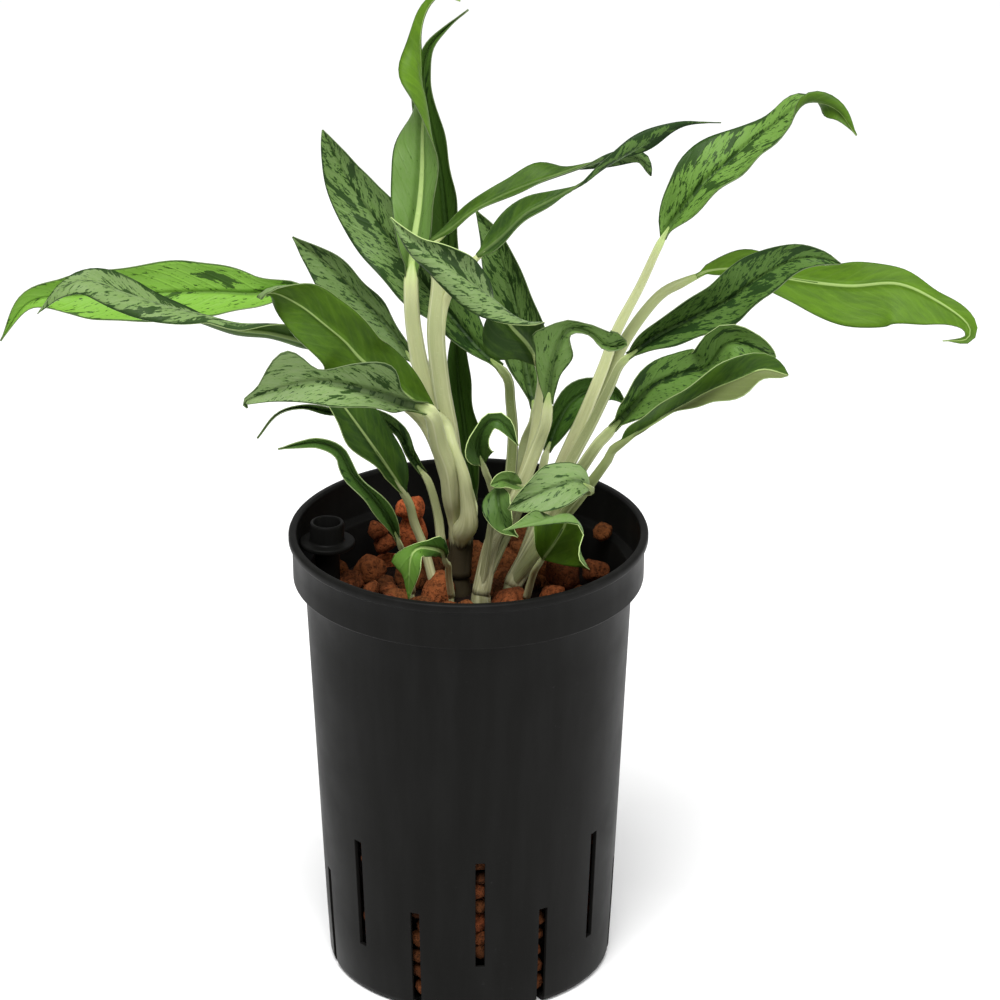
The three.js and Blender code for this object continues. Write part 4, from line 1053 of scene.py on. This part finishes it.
def lowerMaterial():
    material, shader = newMaterial("leafLowerSide", 0.52, blade["gloss"])
    tree = material.node_tree
    side = leafSides(tree)
    light, olive, _ = stored(tree, "below")
    shade = span(plus(side["streak"], side["blotch"]), 0.7, 1.3, -0.14, 0.14)
    # light gives the underside's own tone together with painted light and shade
    colour = blend(plus(light, shade), blade["belowDark"], blade["belowBright"])
    colour = blend(olive, colour, blade["olive"])
    colour = blend(times(side["line"], 0.02), colour, blade["paleLine"])
    colour = blend(span(side["share"], 0.95, 0.99, 0.0, 0.4), colour, blade["belowDark"])
    colour = blend(times(side["rib"], stored(tree, "lines")[2]), colour, blade["paleLine"])
    finishBlade(shader, side, colour, -0.15)
    return material


def edgeMaterial():
    material, shader = newMaterial("leafEdge", 0.45)
    paint(shader, blend(stored(material.node_tree, "lines")[1], blade["darkEdge"], blade["paleLine"]))
    return material


def bladeShape(s, belly, tip):
    t = min(max(s, 0.001), 0.999)
    peak = belly / (belly + tip)
    return (t**belly * (1 - t) ** tip) / (peak**belly * (1 - peak) ** tip)


def makeLeaf(name, leaf, seed, materials):
    draw = random.Random(seed)
    rib = [Vector(point) for point in leaf["rib"]]
    steps = max(16, round(sum((b - a).length for a, b in zip(rib, rib[1:])) / blade["cellLength"]))
    stops, length = evenly(rib, steps)
    across = blade["across"]
    middle = across // 2
    phases = {-1: draw.uniform(0, math.tau), 1: draw.uniform(0, math.tau)}
    paces = {-1: draw.uniform(0.8, 1.2), 1: draw.uniform(0.8, 1.2)}
    below = 1 if leaf["under"] else -1  # which way the underside looks
    sideWidths = (-1, "leftWide"), (1, "rightWide")
    rows = []
    for j, (centre, heading) in enumerate(stops):
        s = j / steps
        side = heading.cross(blade["face"]).normalized()
        up = side.cross(heading)
        start = leaf["girth"][1] * 0.9 * (1 - s)
        usual = leaf["half"] * bladeShape(s, leaf["belly"], leaf["tip"])
        halves = {
            hand: max(usual * along(leaf[wide], s), start, 0.25) for hand, wide in sideWidths
        }
        ribRadius = leaf["girth"][1] * (1 - s) ** 0.8 * 0.85 + 0.25
        row = []
        for i in range(-middle, middle + 1):
            t = abs(i) / middle
            v = 0.4 * t + 0.6 * t**2.2
            hand = -1 if i < 0 else 1
            turn = math.radians(along(leaf["left"] if hand < 0 else leaf["right"], s)) * (0.5 + 0.5 * v)
            out = turned(side * hand, up, turn)
            lift = turned(up, side * -hand, turn)
            x = halves[hand] * v
            swing = math.sin(s * length / blade["waveLength"] * paces[hand] * math.tau + phases[hand])
            swing += 0.5 * noise.noise(Vector((s * length / 13, seed * 3.3, hand)))
            away = blade["wave"] * swing * v**2 * min(1, usual / 9)
            away *= math.sin(math.pi * min(1, s * 1.15 + 0.04)) ** 0.5
            ridge = below * blade["rib"] * ribRadius * max(0, 1 - (x / (ribRadius * 1.35)) ** 2) ** 1.5
            row.append((centre + out * x + lift * (away + ridge), v * hand, x * hand))
        rows.append(row)

    bm = bmesh.new()
    for layer in ("place", "size", "tint", "below", "lines"):
        bm.verts.layers.float_vector.new(layer)

    def marks(i, j):
        s = j / steps
        # lit is painted shade that dims the blade's colours along it
        lit = min(max(along(leaf["lit"], s), 0), 1)
        silver, light, marks = leaf["tint"]
        _, v, x = rows[j][i]
        return {
            "place": (v, s, seed), "size": (x, s * length, 0), "tint": (silver * lit, light * lit, marks),
            "below": (leaf["below"] * lit, leaf["olive"] if v > 0 else 0, 0),
            "lines": (leaf["paleRib"], leaf["paleEdge"], leaf["ribBelow"]),
        }

    addSheet(bm, across, steps, lambda i, j: rows[j][i][0], marks)
    upper, lower, edge = materials
    sides = [lower, upper, edge] if leaf["under"] else [upper, lower, edge]
    title = "leaf" + "".join(word.capitalize() for word in name.split("_"))
    piece = finishPiece(bm, title, sides, ["leaf_" + name])
    shell = piece.modifiers.new("thickness", "SOLIDIFY")
    shell.thickness = mm(blade["thick"])
    shell.offset = 0
    shell.material_offset = 1
    shell.material_offset_rim = 2
    shell.use_even_offset = False


def makeLeaves():
    materials = upperMaterial(), lowerMaterial(), edgeMaterial()
    for seed, (name, leaf) in enumerate(leaves.items(), 1):
        makeLeaf(name, leaf, seed, materials)
    print("leaves:", len(leaves))


makeCamera()
makeStudio()
blackPlastic = plasticMaterial()
makePot(blackPlastic)
makeGauge(blackPlastic)
makeClay(clayMaterial())
makeShoots(stalkMaterial())
makeLeaves()
